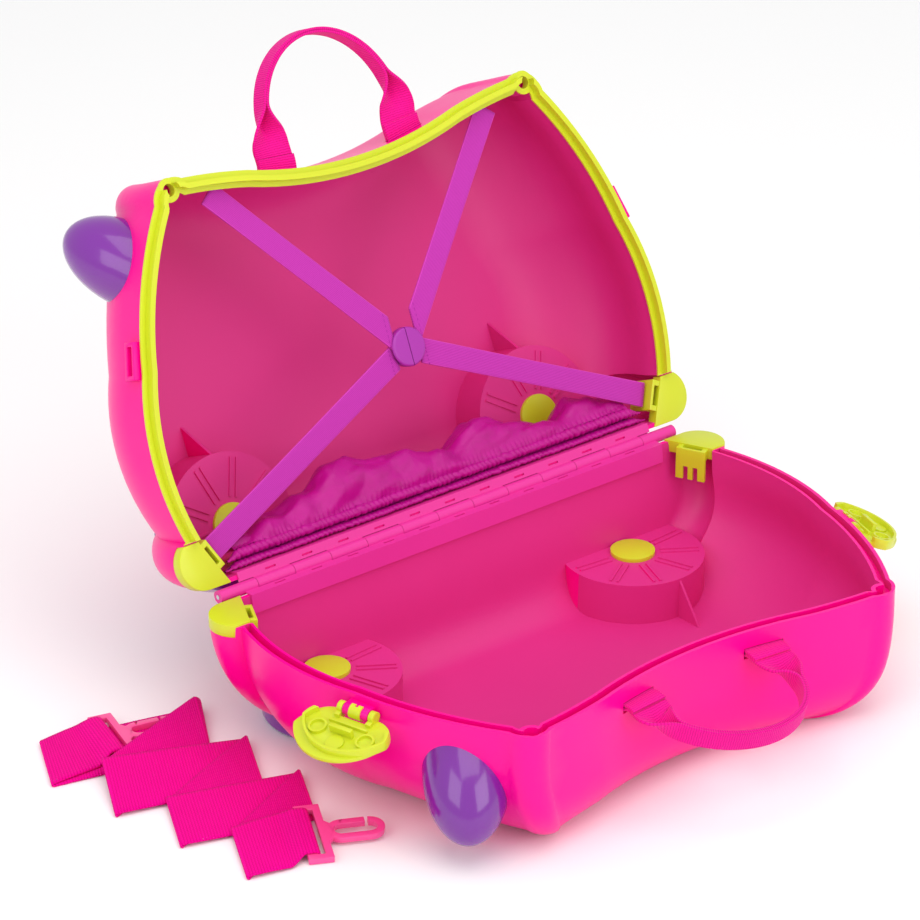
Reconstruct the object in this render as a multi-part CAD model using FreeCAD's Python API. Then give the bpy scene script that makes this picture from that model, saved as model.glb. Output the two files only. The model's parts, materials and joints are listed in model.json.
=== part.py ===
"""Ride-on suitcase for a child, standing open: two moulded halves on a long hinge.

The half frame, in which every piece of a half is drawn, has the hinge axis on X.
A place in it is (x, h, d): x along the hinge, h from the hinge towards the saddle,
and d from the plane where the halves meet into the half. The base is placed as drawn.
The lid is the same half mirrored in that plane and swung open about the hinge.
"""

import FreeCAD
import Part

import math
import os

from FreeCAD import Placement, Rotation, Vector

# The case
half_length = 224.0
case_height = 280.0
half_depth = 97.0
open_angle = 114.3
wall = 2.6
rim_gap = 1.5
rim_width = 10.0
rim_depth = 16.0
rim_taper_depth = 52.0
overrun = 2.0
seat_gap = 0.1

# How far each wall runs straight from the rim before it rounds over to the side face
end_straight = 25.0
lobe_straight = 6.0
saddle_straight = 57.0
hinge_round = 27.0
hinge_straight = half_depth - hinge_round
hinge_lean = 9.215675

# Outline of the mouth, from the hinge corner to the middle of the saddle. Each row gives the
# shares of half_length and case_height, then how much the point follows the rounding of the
# end wall, of the wheel lobe, of the saddle and of the hinge wall.
outline_shares = (
    (0.929, 0.023, 0.0, 1.0, 0.0, 1.0),
    (1.000, 0.060, 0.0, 1.0, 0.0, 0.85),
    (0.962, 0.150, 0.4, 0.6, 0.0, 0.6),
    (0.998, 0.343, 1.0, 0.0, 0.0, 0.0),
    (0.951, 0.568, 1.0, 0.0, 0.0, 0.0),
    (0.900, 0.714, 1.0, 0.0, 0.1, 0.0),
    (0.752, 0.943, 0.7, 0.0, 0.7, 0.0),
    (0.705, 0.994, 0.6, 0.0, 0.85, 0.0),
    (0.638, 0.989, 0.55, 0.0, 0.95, 0.0),
    (0.527, 0.979, 0.3, 0.0, 1.0, 0.0),
    (0.402, 0.961, 0.2, 0.0, 1.0, 0.0),
    (0.000, 0.916, 0.0, 0.0, 1.0, 0.0),
)
end_low_row = 4
end_high_row = 5
pillar_row = 7
round_steps = 6
inside_skipped_steps = 3

# Groove in the base's rim, and the lid's seal with the tongue that goes into it
groove_lip = 2.0
groove_depth = 8.0
seal_start = 41.0
seal_thickness = 1.3
seal_overhang = 0.6
seal_lap = 1.0
tongue_clearance = 0.8
tongue_height = 6.0

# Eyelets for the tow strap's hooks, one at each pillar
eyelet_inset = 7.0
eyelet_radius = 8.5
eyelet_bore = 4.5
eyelet_height = 6.5
eyelet_pocket_clearance = 1.0
eyelet_pocket_depth = 10.0

# Corner blocks that close the ends of the hinge, with a bracket for a strap
block_foot_inset = 34.0
block_top_inset = 17.4
block_top_height = 40.0
block_thickness = 9.0
bracket_slot = 3.5
bracket_thickness = 2.2
bracket_start_share = 0.32
bracket_end_share = 0.92
bracket_depth = 24.0
bracket_post = 4.0
bracket_tooth_depth = 10.0
bracket_tooth_count = 3
bracket_notch_share = 0.083

# Hinge
barrel_radius = 4.5
barrel_end_inset = 20.0
barrel_half_length = half_length - barrel_end_inset
hinge_pin_radius = 1.6
pin_clearance = 0.05
knuckle_count = 13
knuckle_gap = 0.4
leaf_end_inset = 20.0
leaf_half_length = barrel_half_length - leaf_end_inset
leaf_gap = 0.2
leaf_thickness = 2.0
leaf_depth = 14.0
leaf_seat = 0.3
leaf_slot_length = 9.0
leaf_slot_width = 1.4

# Wheels, each in a housing that stands into its half
wheel_inset = 86.0
wheel_x = half_length - wheel_inset
wheel_height = 34.0
wheel_radius = 45.5
wheel_edge = 5.0
wheel_clearance = 3.5
housing_height = 33.0
housing_depth = half_depth - housing_height
housing_boss_radius = 9.0
housing_boss_height = 1.4
wheel_side_gap = 0.3
wheel_dish_inner = 17.0
wheel_tread = 8.0
wheel_web = 7.7
wheel_hub_recess = 13.0
wheel_hub_recess_depth = 8.0
axle_radius = 4.0
axle_setback = 4.0
axle_cap_radius = 16.0
axle_cap_thickness = 2.8
axle_cap_cover = 1.1
washer_radius = 9.0
washer_thickness = 1.5
rib_count = 6
rib_arc = 190.0
rib_height = 1.2
rib_width = 1.6
rib_pair_gap = 5.0
rib_clear = 4.0
fin_thickness = 1.8
fin_length = 22.0
back_fin_rise = 18.0

# Horns
horn_insets = (50.4, 51.5, 52.6)
horn_lean = (23.1, 31.3, 30.6)
horn_radius = 29.0
horn_length = 50.0
horn_plug = 22.0

# Handles, of webbing hemmed round a pin at each foot and folded in half for the hand
handle_foot = 55.5
handle_depth = 18.0
webbing_width = 30.0
webbing_thickness = 1.9
handle_pin_radius = 1.6
handle_pin_setback = 3.2
handle_pin_bite = 3.0
handle_slot_clearance = 0.5
handle_slot_depth = 20.0
handle_fold_angle = 86.0
handle_leg_steps = 4
handle_arch_steps = 18
lid_handle_leg = 25.0
lid_handle_reach = 87.0
lid_handle_fold_start = 10.0
lid_handle_fold_length = 36.0
base_handle_leg = 20.0
base_handle_reach = 67.0
base_handle_fold_start = 8.0
base_handle_fold_length = 28.0
base_handle_sway = 10.0
base_handle_droop_angle = 17.0

# Catches on the end walls
catch_height_share = 0.6
catch_pivot_out = 6.2
catch_pivot_depth = 10.0
catch_open_angle = 108.0
catch_pin_radius = 1.5
lever_stand = 2.6
lever_thickness = 3.0
lever_length = 37.0
lever_half_width = 33.0
lever_shoulder_share = 0.45
lever_bow_share = 0.75
lever_rise_share = 0.33
lever_throat = 5.5
lever_rim = 2.0
lever_rim_height = 4.0
lever_boss_height = 2.4
lever_boss_wall = 1.6
lever_ring_radius = 6.5
lever_ring_along = 19.0
lever_ring_away = 20.0
lever_bar_half = 15.0
lever_bar_start = 11.0
lever_lip_shift = 5.0
lever_lip_inset = 2.5
lever_lip_height = 1.4
ear_offset = 12.5
ear_thickness = 4.0
ear_radius = 4.2
catch_bracket_radius = 4.4
catch_bracket_gap = 0.6
clip_half = 4.5
clip_thickness = 0.9
clip_notch = 2.2
strike_half_width = 13.0
strike_out = 5.5
strike_start = 3.0
strike_end = 15.0
strike_wall = 3.2
hook_clearance = 1.2
hook_reach = 6.2
lock_place = 28.0
lock_radius = 5.0
lock_flange = 6.2
lock_flange_thickness = 0.9
lock_gap = 0.1
lock_slot_width = 1.4
lock_slot_length = 6.6

# Elastic straps in the lid and their buckle
strap_width = 18.0
strap_thickness = 1.8
strap_depth = 6.0
strap_layer_gap = 0.3
strap_anchor_inset = 100.0
strap_gap = 0.5
buckle_x = 4.0
buckle_height_share = 0.425
buckle_height = buckle_height_share * case_height
buckle_radius = 14.0
buckle_thickness = 8.0
buckle_edge = 2.0
buckle_split = 0.6
buckle_slot_clearance = 0.5
buckle_bite = 4.0

# Pocket in the lid, along the hinge
pocket_end_inset = 6.0
pocket_half_length = leaf_half_length - pocket_end_inset
lip_thickness = 3.0
lip_gap = 1.2
lip_depth = 2.5
lip_height = 11.0
bag_depth = 43.0
bag_reach = 54.0
bag_gap = 0.6
bag_thickness = 1.4
bag_shoulder_share = 0.7

# Tow strap, folded to and fro on the floor, with a hook at each end. The levels of each stretch,
# from the first hook to the last, are in layers above the floor: the edge nearer to the saddle and
# the edge nearer to the hinge where it starts, then the same where it ends.
tow_width = 58.0
tow_thickness = 1.8
tow_layer = 2.3
tow_inset = 3.0
tow_near = half_length - tow_inset
tow_span = 108.0
tow_skew = 10.0
tow_first = -26.0
tow_step = 59.0
tow_rise = 26.0
tow_fold_angle = 63.4
tow_first_angle = 75.0
tow_levels = (
    (1, 1, 1, 1),
    (0, 0, 0, 0),
    (1, 4, 0, 4),
    (1, 5, 0, 1),
    (1, 2, 0, 1),
    (1, 2, 0, 1),
    (1, 2, 0, 1),
    (1, 2, 0, 3),
)
tow_first_tail = 44.0
tow_last_tail = 42.0
tow_hook_thickness = 4.5
tow_hook_bar = 7.0
tow_hook_slot = 5.0
tow_hook_front = 5.0
tow_hook_neck = 11.0
tow_hook_taper = 5.0
tow_hook_loop = 34.0
tow_hook_loop_width = 20.0
tow_hook_wire = 5.0
tow_hook_gate = 2.2


def place(x, h, d):
    """A place of the half frame as a vector."""
    return Vector(x, -h, -d)


def block_between(x, h, d):
    """A block of the half frame between two values of x, of h and of d."""
    size = (x[1] - x[0], h[1] - h[0], d[1] - d[0])
    return Part.makeBox(*size, place(x[0], h[1], d[1]))


def post(x, h, radius, d):
    """A round post of the half frame, between two depths."""
    return Part.makeCylinder(radius, d[1] - d[0], place(x, h, d[1]))


def prism(points, d):
    """A prism of the half frame on a polygon of (x, h), between two depths."""
    corners = [place(x, h, d[0]) for x, h in points]
    return Part.Face(Part.makePolygon(corners + corners[:1])).extrude(Vector(0, 0, d[0] - d[1]))


def both_ends(shape):
    """The piece of the +X end and its mirror image at the other end."""
    return [shape, shape.mirror(Vector(), Vector(1, 0, 0))]


def unit(x, y):
    """The unit vector along (x, y)."""
    size = math.hypot(x, y)
    return x / size, y / size


def between(one, two, share):
    """The point at a share of the way from one point to the other."""
    return tuple(a + (b - a) * share for a, b in zip(one, two))


def rounding(d, straight):
    """Inset of a wall at depth d: none while it is straight, then a quarter circle."""
    radius = half_depth - straight
    share = min(1.0, max(0.0, (d - straight) / radius))
    return radius * (1.0 - math.sqrt(1.0 - share * share))


def hinge_draft(d):
    """How far the hinge wall has leaned away from the hinge at depth d."""
    return hinge_lean * min(d, hinge_straight) / hinge_straight


def hinge_inside(d):
    """Height of the hinge wall's inner side at depth d."""
    return outline_shares[0][1] * case_height + hinge_draft(d) + wall


def outline_points(d, inset, hinge_inset=None):
    """The outline's points at depth d, moved inwards by inset, on the +X side."""
    points = []
    for x, h, end, lobe, saddle, hinge in outline_shares:
        side = end * rounding(d, end_straight) + lobe * rounding(d, lobe_straight)
        down = saddle * rounding(d, saddle_straight)
        up = hinge * (hinge_draft(d) + rounding(d, hinge_straight))
        points.append((x * half_length - side, h * case_height - down + up))
    return inset_points(points, inset, inset if hinge_inset is None else hinge_inset)


def inset_points(points, inset, hinge_inset):
    """Moves an outline's points inwards along the bisector at each one."""
    first, last = points[0], points[-2]
    ring = [(-first[0], first[1])] + list(points) + [(-last[0], last[1])]
    moved = []
    for before, here, after in zip(ring, ring[1:], ring[2:]):
        one = unit(here[0] - before[0], here[1] - before[1])
        two = unit(after[0] - here[0], after[1] - here[1])
        across = unit(-one[1] - two[1], one[0] + two[0])
        moved.append((here[0] + across[0] * inset, here[1] + across[1] * inset))
    moved[0] = (moved[0][0], first[1] + hinge_inset)
    moved[-1] = (0.0, moved[-1][1])
    return moved


def outline_wire(d, inset, hinge_inset=None, at=None):
    """The closed outline at depth d: the hinge line, then arcs through three points each."""
    level = d if at is None else at
    right = [place(x, h, level) for x, h in outline_points(d, inset, hinge_inset)]
    left = [Vector(-p.x, p.y, p.z) for p in right]
    edges = [Part.LineSegment(left[0], right[0]).toShape()]
    spans = range(0, len(right) - 2, 2)
    edges += [Part.Arc(right[i], right[i + 1], right[i + 2]).toShape() for i in spans]
    edges.append(Part.Arc(right[-2], right[-1], left[-2]).toShape())
    edges += [Part.Arc(left[i + 2], left[i + 1], left[i]).toShape() for i in reversed(spans)]
    return Part.Wire(edges)


def turned_depths(first):
    """Depths at even steps round the end wall's edge, from a step on."""
    radius = half_depth - end_straight
    turns = [math.radians(90.0 * i / round_steps) for i in range(first, round_steps + 1)]
    return [end_straight + radius * math.sin(turn) for turn in turns]


def outer_body():
    """The half as a filled solid, from the rim to the side face."""
    depths = [rim_gap, (rim_gap + end_straight) / 2] + turned_depths(0)
    return Part.makeLoft([outline_wire(d, 0.0) for d in depths], True, False)


def wall_inset(d):
    """Inset of the inside: the rim's full width, then a taper down to the plain wall."""
    share = min(1.0, max(0.0, (d - rim_depth) / (rim_taper_depth - rim_depth)))
    return rim_width + (wall - rim_width) * share * share * (3.0 - 2.0 * share)


def inner_body():
    """The hollow of the half, from above the rim to the inside of the side face."""
    middle = (rim_depth + rim_taper_depth) / 2
    depths = [rim_depth, middle, rim_taper_depth] + turned_depths(inside_skipped_steps)
    scale = (half_depth - wall) / half_depth
    wires = [outline_wire(rim_gap, rim_width, wall, rim_gap - overrun)]
    wires += [outline_wire(d, wall_inset(d), wall, d * scale) for d in depths]
    return Part.makeLoft(wires, True, False)


def rim_ring(outer, inner, d, start=seal_start):
    """A ring that follows the rim between two insets and two depths, from a height above the hinge."""
    drop = Vector(0, 0, d[0] - d[1])
    ring = Part.Face(outline_wire(rim_gap, outer, at=d[0])).extrude(drop)
    ring = ring.cut(Part.Face(outline_wire(rim_gap, inner, at=d[0])).extrude(drop))
    span = (-half_length - rim_width, half_length + rim_width)
    return ring.cut(block_between(span, (-overrun, start), (d[0] - overrun, d[1] + overrun)))


def eyelet_place():
    """Centre of the eyelet at the +X pillar."""
    return outline_points(rim_gap, eyelet_inset)[pillar_row]


def eyelet_posts(radius, d):
    """A round post at each eyelet."""
    x, h = eyelet_place()
    return both_ends(post(x, h, radius, d))


def housing_body(radius, d):
    """A round post at each wheel."""
    return both_ends(post(wheel_x, wheel_height, radius, d))


def housing_ribs():
    """Pairs of ribs that fan out from the hub on top of a housing."""
    inner = axle_cap_radius + rib_clear
    outer = wheel_radius + wheel_clearance + wall - rib_clear
    ribs = []
    for i in range(rib_count):
        turn = rib_arc * (i / (rib_count - 1) - 1 / 2)
        for side in (-1, 1):
            middle = side * rib_pair_gap / 2
            across = (wheel_x + middle - rib_width / 2, wheel_x + middle + rib_width / 2)
            along = (wheel_height + inner, wheel_height + outer)
            rib = block_between(across, along, (housing_depth - rib_height, housing_depth + wall / 2))
            rib.rotate(place(wheel_x, wheel_height, 0), Vector(0, 0, 1), turn)
            ribs.append(rib)
    return ribs


def housing_fins():
    """Two thin gussets: from a housing's front to the side face, and from its top to the hinge wall."""
    side = wheel_radius + wheel_clearance + wall
    front = wheel_height + side
    floor = half_depth - wall / 2
    first = [(front - wall / 2, housing_depth), (front - wall / 2, floor), (front + fin_length, floor)]
    hub = wheel_height - axle_cap_radius
    foot = hinge_draft(housing_depth) + wall
    second = [(foot, housing_depth + wall / 2), (hub, housing_depth + wall / 2), (hub, housing_depth),
              (foot, housing_depth - back_fin_rise)]
    return [fin_on(points) for points in (first, second)]


def fin_on(points):
    """A thin plate across the hinge's direction, on a polygon of (h, d) at the wheel's middle."""
    corners = [place(wheel_x - fin_thickness / 2, h, d) for h, d in points]
    face = Part.Face(Part.makePolygon(corners + corners[:1]))
    return face.extrude(Vector(fin_thickness, 0, 0))


def block_line():
    """Foot and top of the straight edge of a corner block, at the +X end."""
    foot = half_length - block_foot_inset, outline_shares[0][1] * case_height
    return foot, (half_length - block_top_inset, block_top_height)


def block_side(gap, d):
    """Everything beyond a corner block's straight edge, between two depths, at the +X end."""
    foot, top = block_line()
    along = unit(top[0] - foot[0], top[1] - foot[1])
    across = (along[1], -along[0])
    reach = half_length
    low = (foot[0] - along[0] * reach - across[0] * gap, foot[1] - along[1] * reach - across[1] * gap)
    end = (top[0] - across[0] * gap, top[1] - across[1] * gap)
    far = (end[0] + reach, end[1])
    return prism([low, end, far, (far[0], low[1])], d)


def handle_slots():
    """Slots for the webbing in the saddle wall, with the holes for the pins."""
    cuts = []
    half = handle_loop_radius() + handle_slot_clearance
    span = webbing_width / 2 + handle_slot_clearance
    top = saddle_at(handle_foot)
    for side in (-1, 1):
        x = side * handle_foot
        slot = block_between((x - span, x + span), (top - handle_slot_depth, top + overrun),
                             (handle_depth - half, handle_depth + half))
        cuts.append(on_saddle(slot, side))
        cuts.append(handle_pin(side, handle_pin_radius + pin_clearance))
    return cuts


def handle_loop_radius():
    """Outside radius of the webbing's loop round its pin."""
    return handle_pin_radius + pin_clearance + webbing_thickness


def saddle_slope():
    """How far the saddle leans up, in degrees, at the +X foot of a handle."""
    reach = webbing_width / 2
    rise = saddle_at(handle_foot + reach) - saddle_at(handle_foot - reach)
    return math.degrees(math.atan2(rise, 2 * reach))


def on_saddle(shape, side):
    """A piece at a handle's foot, turned to lie along the saddle."""
    foot = place(side * handle_foot, saddle_at(handle_foot), 0)
    shape.rotate(foot, Vector(0, 0, 1), -side * saddle_slope())
    return shape


def saddle_at(x):
    """Height of the saddle's outside over a place on the hinge."""
    right = [place(px, h, 0) for px, h in outline_points(rim_gap, 0.0)[-2:]]
    arc = Part.Arc(right[0], right[1], Vector(-right[0].x, right[0].y, 0)).toShape()
    line = Part.makeLine(Vector(x, 0, 0), place(x, case_height, 0))
    return -arc.distToShape(line)[1][0][0].y


def handle_bar(side, radius, length):
    """A round bar along the saddle, on the pin of a handle's foot."""
    h = saddle_at(handle_foot) - handle_pin_setback
    start = place(side * handle_foot - length / 2, h, handle_depth)
    return on_saddle(Part.makeCylinder(radius, length, start, Vector(1, 0, 0)), side)


def handle_pin(side, radius):
    """The pin in a handle's foot, which goes into the wall at both ends of the slot."""
    return handle_bar(side, radius, webbing_width + 2 * (handle_slot_clearance + handle_pin_bite))


def shell():
    """What both halves share: walls, wheel housings, pillars, slots and corner seats."""
    outer = outer_body()
    housing_radius = wheel_radius + wheel_clearance + wall
    body = outer.cut(inner_body())
    added = housing_body(housing_radius, (housing_depth, half_depth + overrun))
    added += eyelet_posts(eyelet_radius, (rim_gap - overrun, eyelet_pocket_depth + wall))
    for rib in housing_ribs() + housing_fins():
        added += both_ends(rib)
    body = body.fuse([piece.common(outer) for piece in added])
    pocket = housing_body(wheel_radius + wheel_clearance, (housing_depth + wall, half_depth + overrun))
    body = body.cut(pocket)
    bosses = housing_body(housing_boss_radius, (housing_depth, housing_depth + wall + housing_boss_height))
    body = body.fuse(bosses)
    cuts = housing_body(axle_radius + pin_clearance, (housing_depth - overrun, half_depth))
    cuts += eyelet_posts(eyelet_bore + eyelet_pocket_clearance, (rim_gap - overrun, eyelet_pocket_depth))
    cuts += both_ends(block_side(seat_gap, (rim_gap - overrun, block_thickness)))
    return body.cut(cuts + handle_slots())


def base_shell(half):
    """The base half, with the groove for the seal's tongue in its rim."""
    return half.cut(rim_ring(wall, rim_width - groove_lip, (rim_gap - overrun, groove_depth)))


def lid_seal():
    """The lid's seal: a flat band on the rim, the tongue for the groove and two eyelets."""
    face = rim_gap - seal_thickness
    band = rim_ring(-seal_overhang, rim_width + seal_lap, (face, rim_gap))
    tongue = rim_ring(wall + tongue_clearance, rim_width - groove_lip - tongue_clearance,
                      (-tongue_height, face), seal_start + tongue_clearance)
    sleeve = eyelet_bore + eyelet_pocket_clearance - seat_gap
    seal = band.fuse([tongue] + eyelet_posts(eyelet_radius, (face, rim_gap))
                     + eyelet_posts(sleeve, (rim_gap, eyelet_height)))
    clear = eyelet_posts(eyelet_bore + tongue_clearance, (-tongue_height - overrun, face))
    holes = eyelet_posts(eyelet_bore, (-tongue_height - overrun, eyelet_height + overrun))
    return seal.cut(clear + holes).removeSplitter()


def corner_block():
    """A corner block of the +X end: a filled corner of the rim, and the bracket beside it."""
    lobe = Part.Face(outline_wire(rim_gap, 0.0, at=leaf_gap))
    lobe = lobe.extrude(Vector(0, 0, leaf_gap - block_thickness))
    body = lobe.common(block_side(0.0, (leaf_gap, block_thickness)))
    foot, top = block_line()
    start = between(foot, top, bracket_start_share)
    end = between(foot, top, bracket_end_share)
    along = unit(top[0] - foot[0], top[1] - foot[1])
    inward = (-along[1], along[0])

    def strip(one, two, near, far, d):
        """A strip beside the straight edge, between two distances from it."""
        corners = [(p[0] + inward[0] * away, p[1] + inward[1] * away)
                   for p, away in ((one, near), (two, near), (two, far), (one, far))]
        return prism(corners, d)

    far = bracket_slot + bracket_thickness
    plate = strip(start, end, bracket_slot, far, (rim_gap, rim_gap + bracket_depth))
    length = math.hypot(end[0] - start[0], end[1] - start[1])
    share = bracket_post / length
    posts = [strip(between(start, end, a), between(start, end, b), -overrun, far,
                   (rim_gap, block_thickness)) for a, b in ((0.0, share), (1.0 - share, 1.0))]
    notches = []
    for i in range(bracket_tooth_count - 1):
        middle = (i + 1) / bracket_tooth_count
        ends = [between(start, end, middle + side * bracket_notch_share) for side in (-1, 1)]
        low = rim_gap + bracket_depth
        notches.append(strip(ends[0], ends[1], bracket_slot - overrun, far + overrun,
                             (low - bracket_tooth_depth, low + overrun)))
    return body.fuse([plate] + posts).cut(notches)


def knuckles(first):
    """Places of every other knuckle along the barrel."""
    pitch = 2 * barrel_half_length / knuckle_count
    starts = [i * pitch - barrel_half_length for i in range(first, knuckle_count, 2)]
    return [(start + knuckle_gap / 2, start + pitch - knuckle_gap / 2) for start in starts]


def hinge_leaf(first):
    """One side of the hinge: its knuckles, the web over the rim and the leg down the wall."""
    inside = hinge_inside(rim_gap) + leaf_seat
    web = (leaf_gap, rim_gap - seat_gap)
    body = block_between((-leaf_half_length, leaf_half_length),
                         (barrel_radius + knuckle_gap, inside + leaf_thickness), web)
    low = hinge_inside(leaf_depth) + leaf_seat
    leg = [(inside, leaf_gap), (inside + leaf_thickness, leaf_gap),
           (low + leaf_thickness, leaf_depth), (low, leaf_depth)]
    corners = [place(-leaf_half_length, h, d) for h, d in leg]
    body = body.fuse(Part.Face(Part.makePolygon(corners + corners[:1]))
                     .extrude(Vector(2 * leaf_half_length, 0, 0)))
    cuts = [bar(hinge_pin_radius + pin_clearance, barrel_half_length + overrun)]
    for span in knuckles(first):
        body = body.fuse(Part.makeCylinder(barrel_radius, span[1] - span[0],
                                           Vector(span[0], 0, 0), Vector(1, 0, 0)))
        clipped = (max(span[0], -leaf_half_length), min(span[1], leaf_half_length))
        body = body.fuse(block_between(clipped, (0.0, inside), web))
    middle = barrel_radius + knuckle_gap + (inside - barrel_radius) / 2
    for span in knuckles(0) + knuckles(1):
        x = (span[0] + span[1]) / 2
        cuts.append(block_between((x - leaf_slot_length / 2, x + leaf_slot_length / 2),
                                  (middle - leaf_slot_width / 2, middle + leaf_slot_width / 2),
                                  (-overrun, rim_gap)))
    return body.cut(cuts).removeSplitter()


def bar(radius, half):
    """A round bar on the hinge axis."""
    return Part.makeCylinder(radius, 2 * half, Vector(-half, 0, 0), Vector(1, 0, 0))


def wheel():
    """A wheel of the +X end: rounded tread, dished faces and a recess for the washer."""
    near = housing_depth + wall + housing_boss_height + wheel_side_gap
    body = post(wheel_x, wheel_height, wheel_radius, (near, half_depth))
    rims = [edge for edge in body.Edges if abs(edge.Length - 2 * math.pi * wheel_radius) < overrun]
    body = body.makeFillet(wheel_edge, rims)
    dish_depth = (half_depth - near - wheel_web) / 2
    inner = (near - overrun, near + dish_depth)
    outer = (half_depth - dish_depth, half_depth + overrun)
    for d in (inner, outer):
        dish = post(wheel_x, wheel_height, wheel_radius - wheel_tread, d)
        body = body.cut(dish.cut(post(wheel_x, wheel_height, wheel_dish_inner, d)))
    bore = post(wheel_x, wheel_height, axle_radius + pin_clearance, (near - overrun, half_depth + overrun))
    recess = post(wheel_x, wheel_height, wheel_hub_recess,
                  (half_depth - wheel_hub_recess_depth, half_depth + overrun))
    return body.cut([bore, recess])


def axle():
    """An axle of the +X end, from inside its cap to the wheel's outer face."""
    return post(wheel_x, wheel_height, axle_radius,
                (housing_depth - axle_cap_thickness + axle_cap_cover, half_depth - axle_setback))


def axle_cap():
    """The disc that covers an axle's inner end, on top of its housing."""
    cap = post(wheel_x, wheel_height, axle_cap_radius, (housing_depth - axle_cap_thickness, housing_depth))
    hole = post(wheel_x, wheel_height, axle_radius + pin_clearance,
                (housing_depth - axle_cap_thickness + axle_cap_cover - seat_gap, housing_depth + overrun))
    return cap.cut(hole)


def axle_washer():
    """The washer that keeps a wheel on its axle."""
    start = half_depth - wheel_hub_recess_depth + wheel_side_gap
    ring = post(wheel_x, wheel_height, washer_radius, (start, start + washer_thickness))
    return ring.cut(post(wheel_x, wheel_height, axle_radius + pin_clearance, (start - overrun, half_depth)))


def horn(outer):
    """The horn at the -X end: half an ellipsoid that leans out of the corner, seated on the shell."""
    sizes = (half_length, case_height, half_depth)
    x, h, d = (size - inset for size, inset in zip(sizes, horn_insets))
    root = place(-x, h, d)
    lean = place(-horn_lean[0], horn_lean[1], horn_lean[2]).normalize()
    curve = Part.Ellipse(Vector(), horn_length, horn_radius)
    arc = curve.toShape(0.0, math.pi / 2)
    corners = [Vector(0, horn_radius, 0), Vector(-horn_plug, horn_radius, 0), Vector(-horn_plug, 0, 0),
               Vector(horn_length, 0, 0)]
    profile = Part.Wire([arc] + [Part.makeLine(a, b) for a, b in zip(corners, corners[1:])])
    body = Part.Face(profile).revolve(Vector(), Vector(1, 0, 0), 360)
    body.Placement = Placement(root, Rotation(Vector(1, 0, 0), lean))
    pieces = body.cut(outer).Solids
    return max(pieces, key=lambda solid: solid.Volume)


def handle_line(leg, reach, sway):
    """Middle line of a handle from foot to foot, as (x, rise): straight legs and half an ellipse."""
    low = (handle_pin_radius + handle_loop_radius()) / 2 - handle_pin_setback
    rises = [low + (leg - low) * i / handle_leg_steps for i in range(handle_leg_steps)]
    line = [(-handle_foot, rise) for rise in rises]
    for i in range(handle_arch_steps + 1):
        turn = math.pi * (1.0 - i / handle_arch_steps)
        line.append((handle_foot * math.cos(turn) + sway * math.sin(turn),
                     leg + (reach - leg) * math.sin(turn)))
    return line + [(handle_foot, rise) for rise in reversed(rises)]


def eased(share):
    """A share from 0 to 1, eased at both ends."""
    share = min(1.0, max(0.0, share))
    return share * share * (3.0 - 2.0 * share)


def handle_folds(line, start, length):
    """How far the webbing is folded at each point of a handle, from 0 at its feet to 1 in the hand."""
    steps = [math.dist(one, two) for one, two in zip(line, line[1:])]
    run = [sum(steps[:i]) for i in range(len(line))]
    return [eased((min(at, run[-1] - at) - start) / length) for at in run]


def folded_points(fold):
    """Section of the webbing as (across, depth): flat, or shut like a book that opens to the rim."""
    turn = math.radians(handle_fold_angle) * fold
    cos, sin, thick = math.cos(turn), math.sin(turn), webbing_thickness
    flap = webbing_width / 2 - thick
    edge = (thick + flap * cos, flap * sin)
    inner = (edge[0] - thick * sin, edge[1] + thick * cos)
    open_crease = thick * cos - thick * (1.0 - sin) * sin / cos
    crease = open_crease + (inner[1] - thick / 2 - open_crease) * fold ** 2
    points = [(-edge[0], edge[1]), (-thick, 0.0), (thick, 0.0), edge, inner, (0.0, crease),
              (-inner[0], inner[1])]
    middle = inner[1] / 2
    return [(across, middle - depth) for across, depth in points]


def handle(leg, reach, fold_start, fold_length, sway=0.0, droop=0.0):
    """A webbing handle: a hem round each pin, flat legs and a folded arch, turned down by droop."""
    top = saddle_at(handle_foot)
    line = handle_line(leg, reach, sway)
    slope = math.radians(saddle_slope())
    wires = []
    for i, ((x, rise), fold) in enumerate(zip(line, handle_folds(line, fold_start, fold_length))):
        before, after = line[max(i - 1, 0)], line[min(i + 1, len(line) - 1)]
        along = unit(after[0] - before[0], after[1] - before[1])
        if i in (0, len(line) - 1):
            along = (math.sin(slope), math.cos(slope)) if i == 0 else (math.sin(slope), -math.cos(slope))
        lean = math.radians(droop) * eased(rise / leg)
        corners = []
        for across, depth in folded_points(fold):
            side, up = x + along[1] * across, rise - along[0] * across
            corners.append(place(side, top + up * math.cos(lean) - depth * math.sin(lean),
                                 handle_depth + up * math.sin(lean) + depth * math.cos(lean)))
        wires.append(Part.makePolygon(corners + corners[:1]))
    arch = Part.makeLoft(wires, True, True)
    hems = [handle_bar(side, handle_loop_radius(), webbing_width) for side in (-1, 1)]
    length = webbing_width + overrun
    holes = [handle_bar(side, handle_pin_radius + pin_clearance, length) for side in (-1, 1)]
    return arch.fuse(hems).cut(holes)


def catch_frame():
    """Placement of a catch's own frame at the +X end: X outwards, Y along the rim, Z into the half."""
    low, high = outline_points(rim_gap, 0.0)[end_low_row:end_high_row + 1]
    share = (catch_height_share * case_height - low[1]) / (high[1] - low[1])
    x, h = between(low, high, share)
    along = unit(high[0] - low[0], high[1] - low[1])
    rim = place(along[0], along[1], 0)
    out = place(along[1], -along[0], 0)
    return Placement(place(x, h, 0), Rotation(out, rim, Vector(0, 0, -1), "XYZ"))


def catch_block(out, along, depth):
    """A block in a catch's own frame."""
    size = (out[1] - out[0], along[1] - along[0], depth[1] - depth[0])
    return Part.makeBox(*size, Vector(out[0], along[0], depth[0]))


def catch_round(radius, along):
    """A round bar on a catch's pivot, in its own frame."""
    start = Vector(catch_pivot_out, along[0], catch_pivot_depth)
    return Part.makeCylinder(radius, along[1] - along[0], start, Vector(0, 1, 0))


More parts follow.
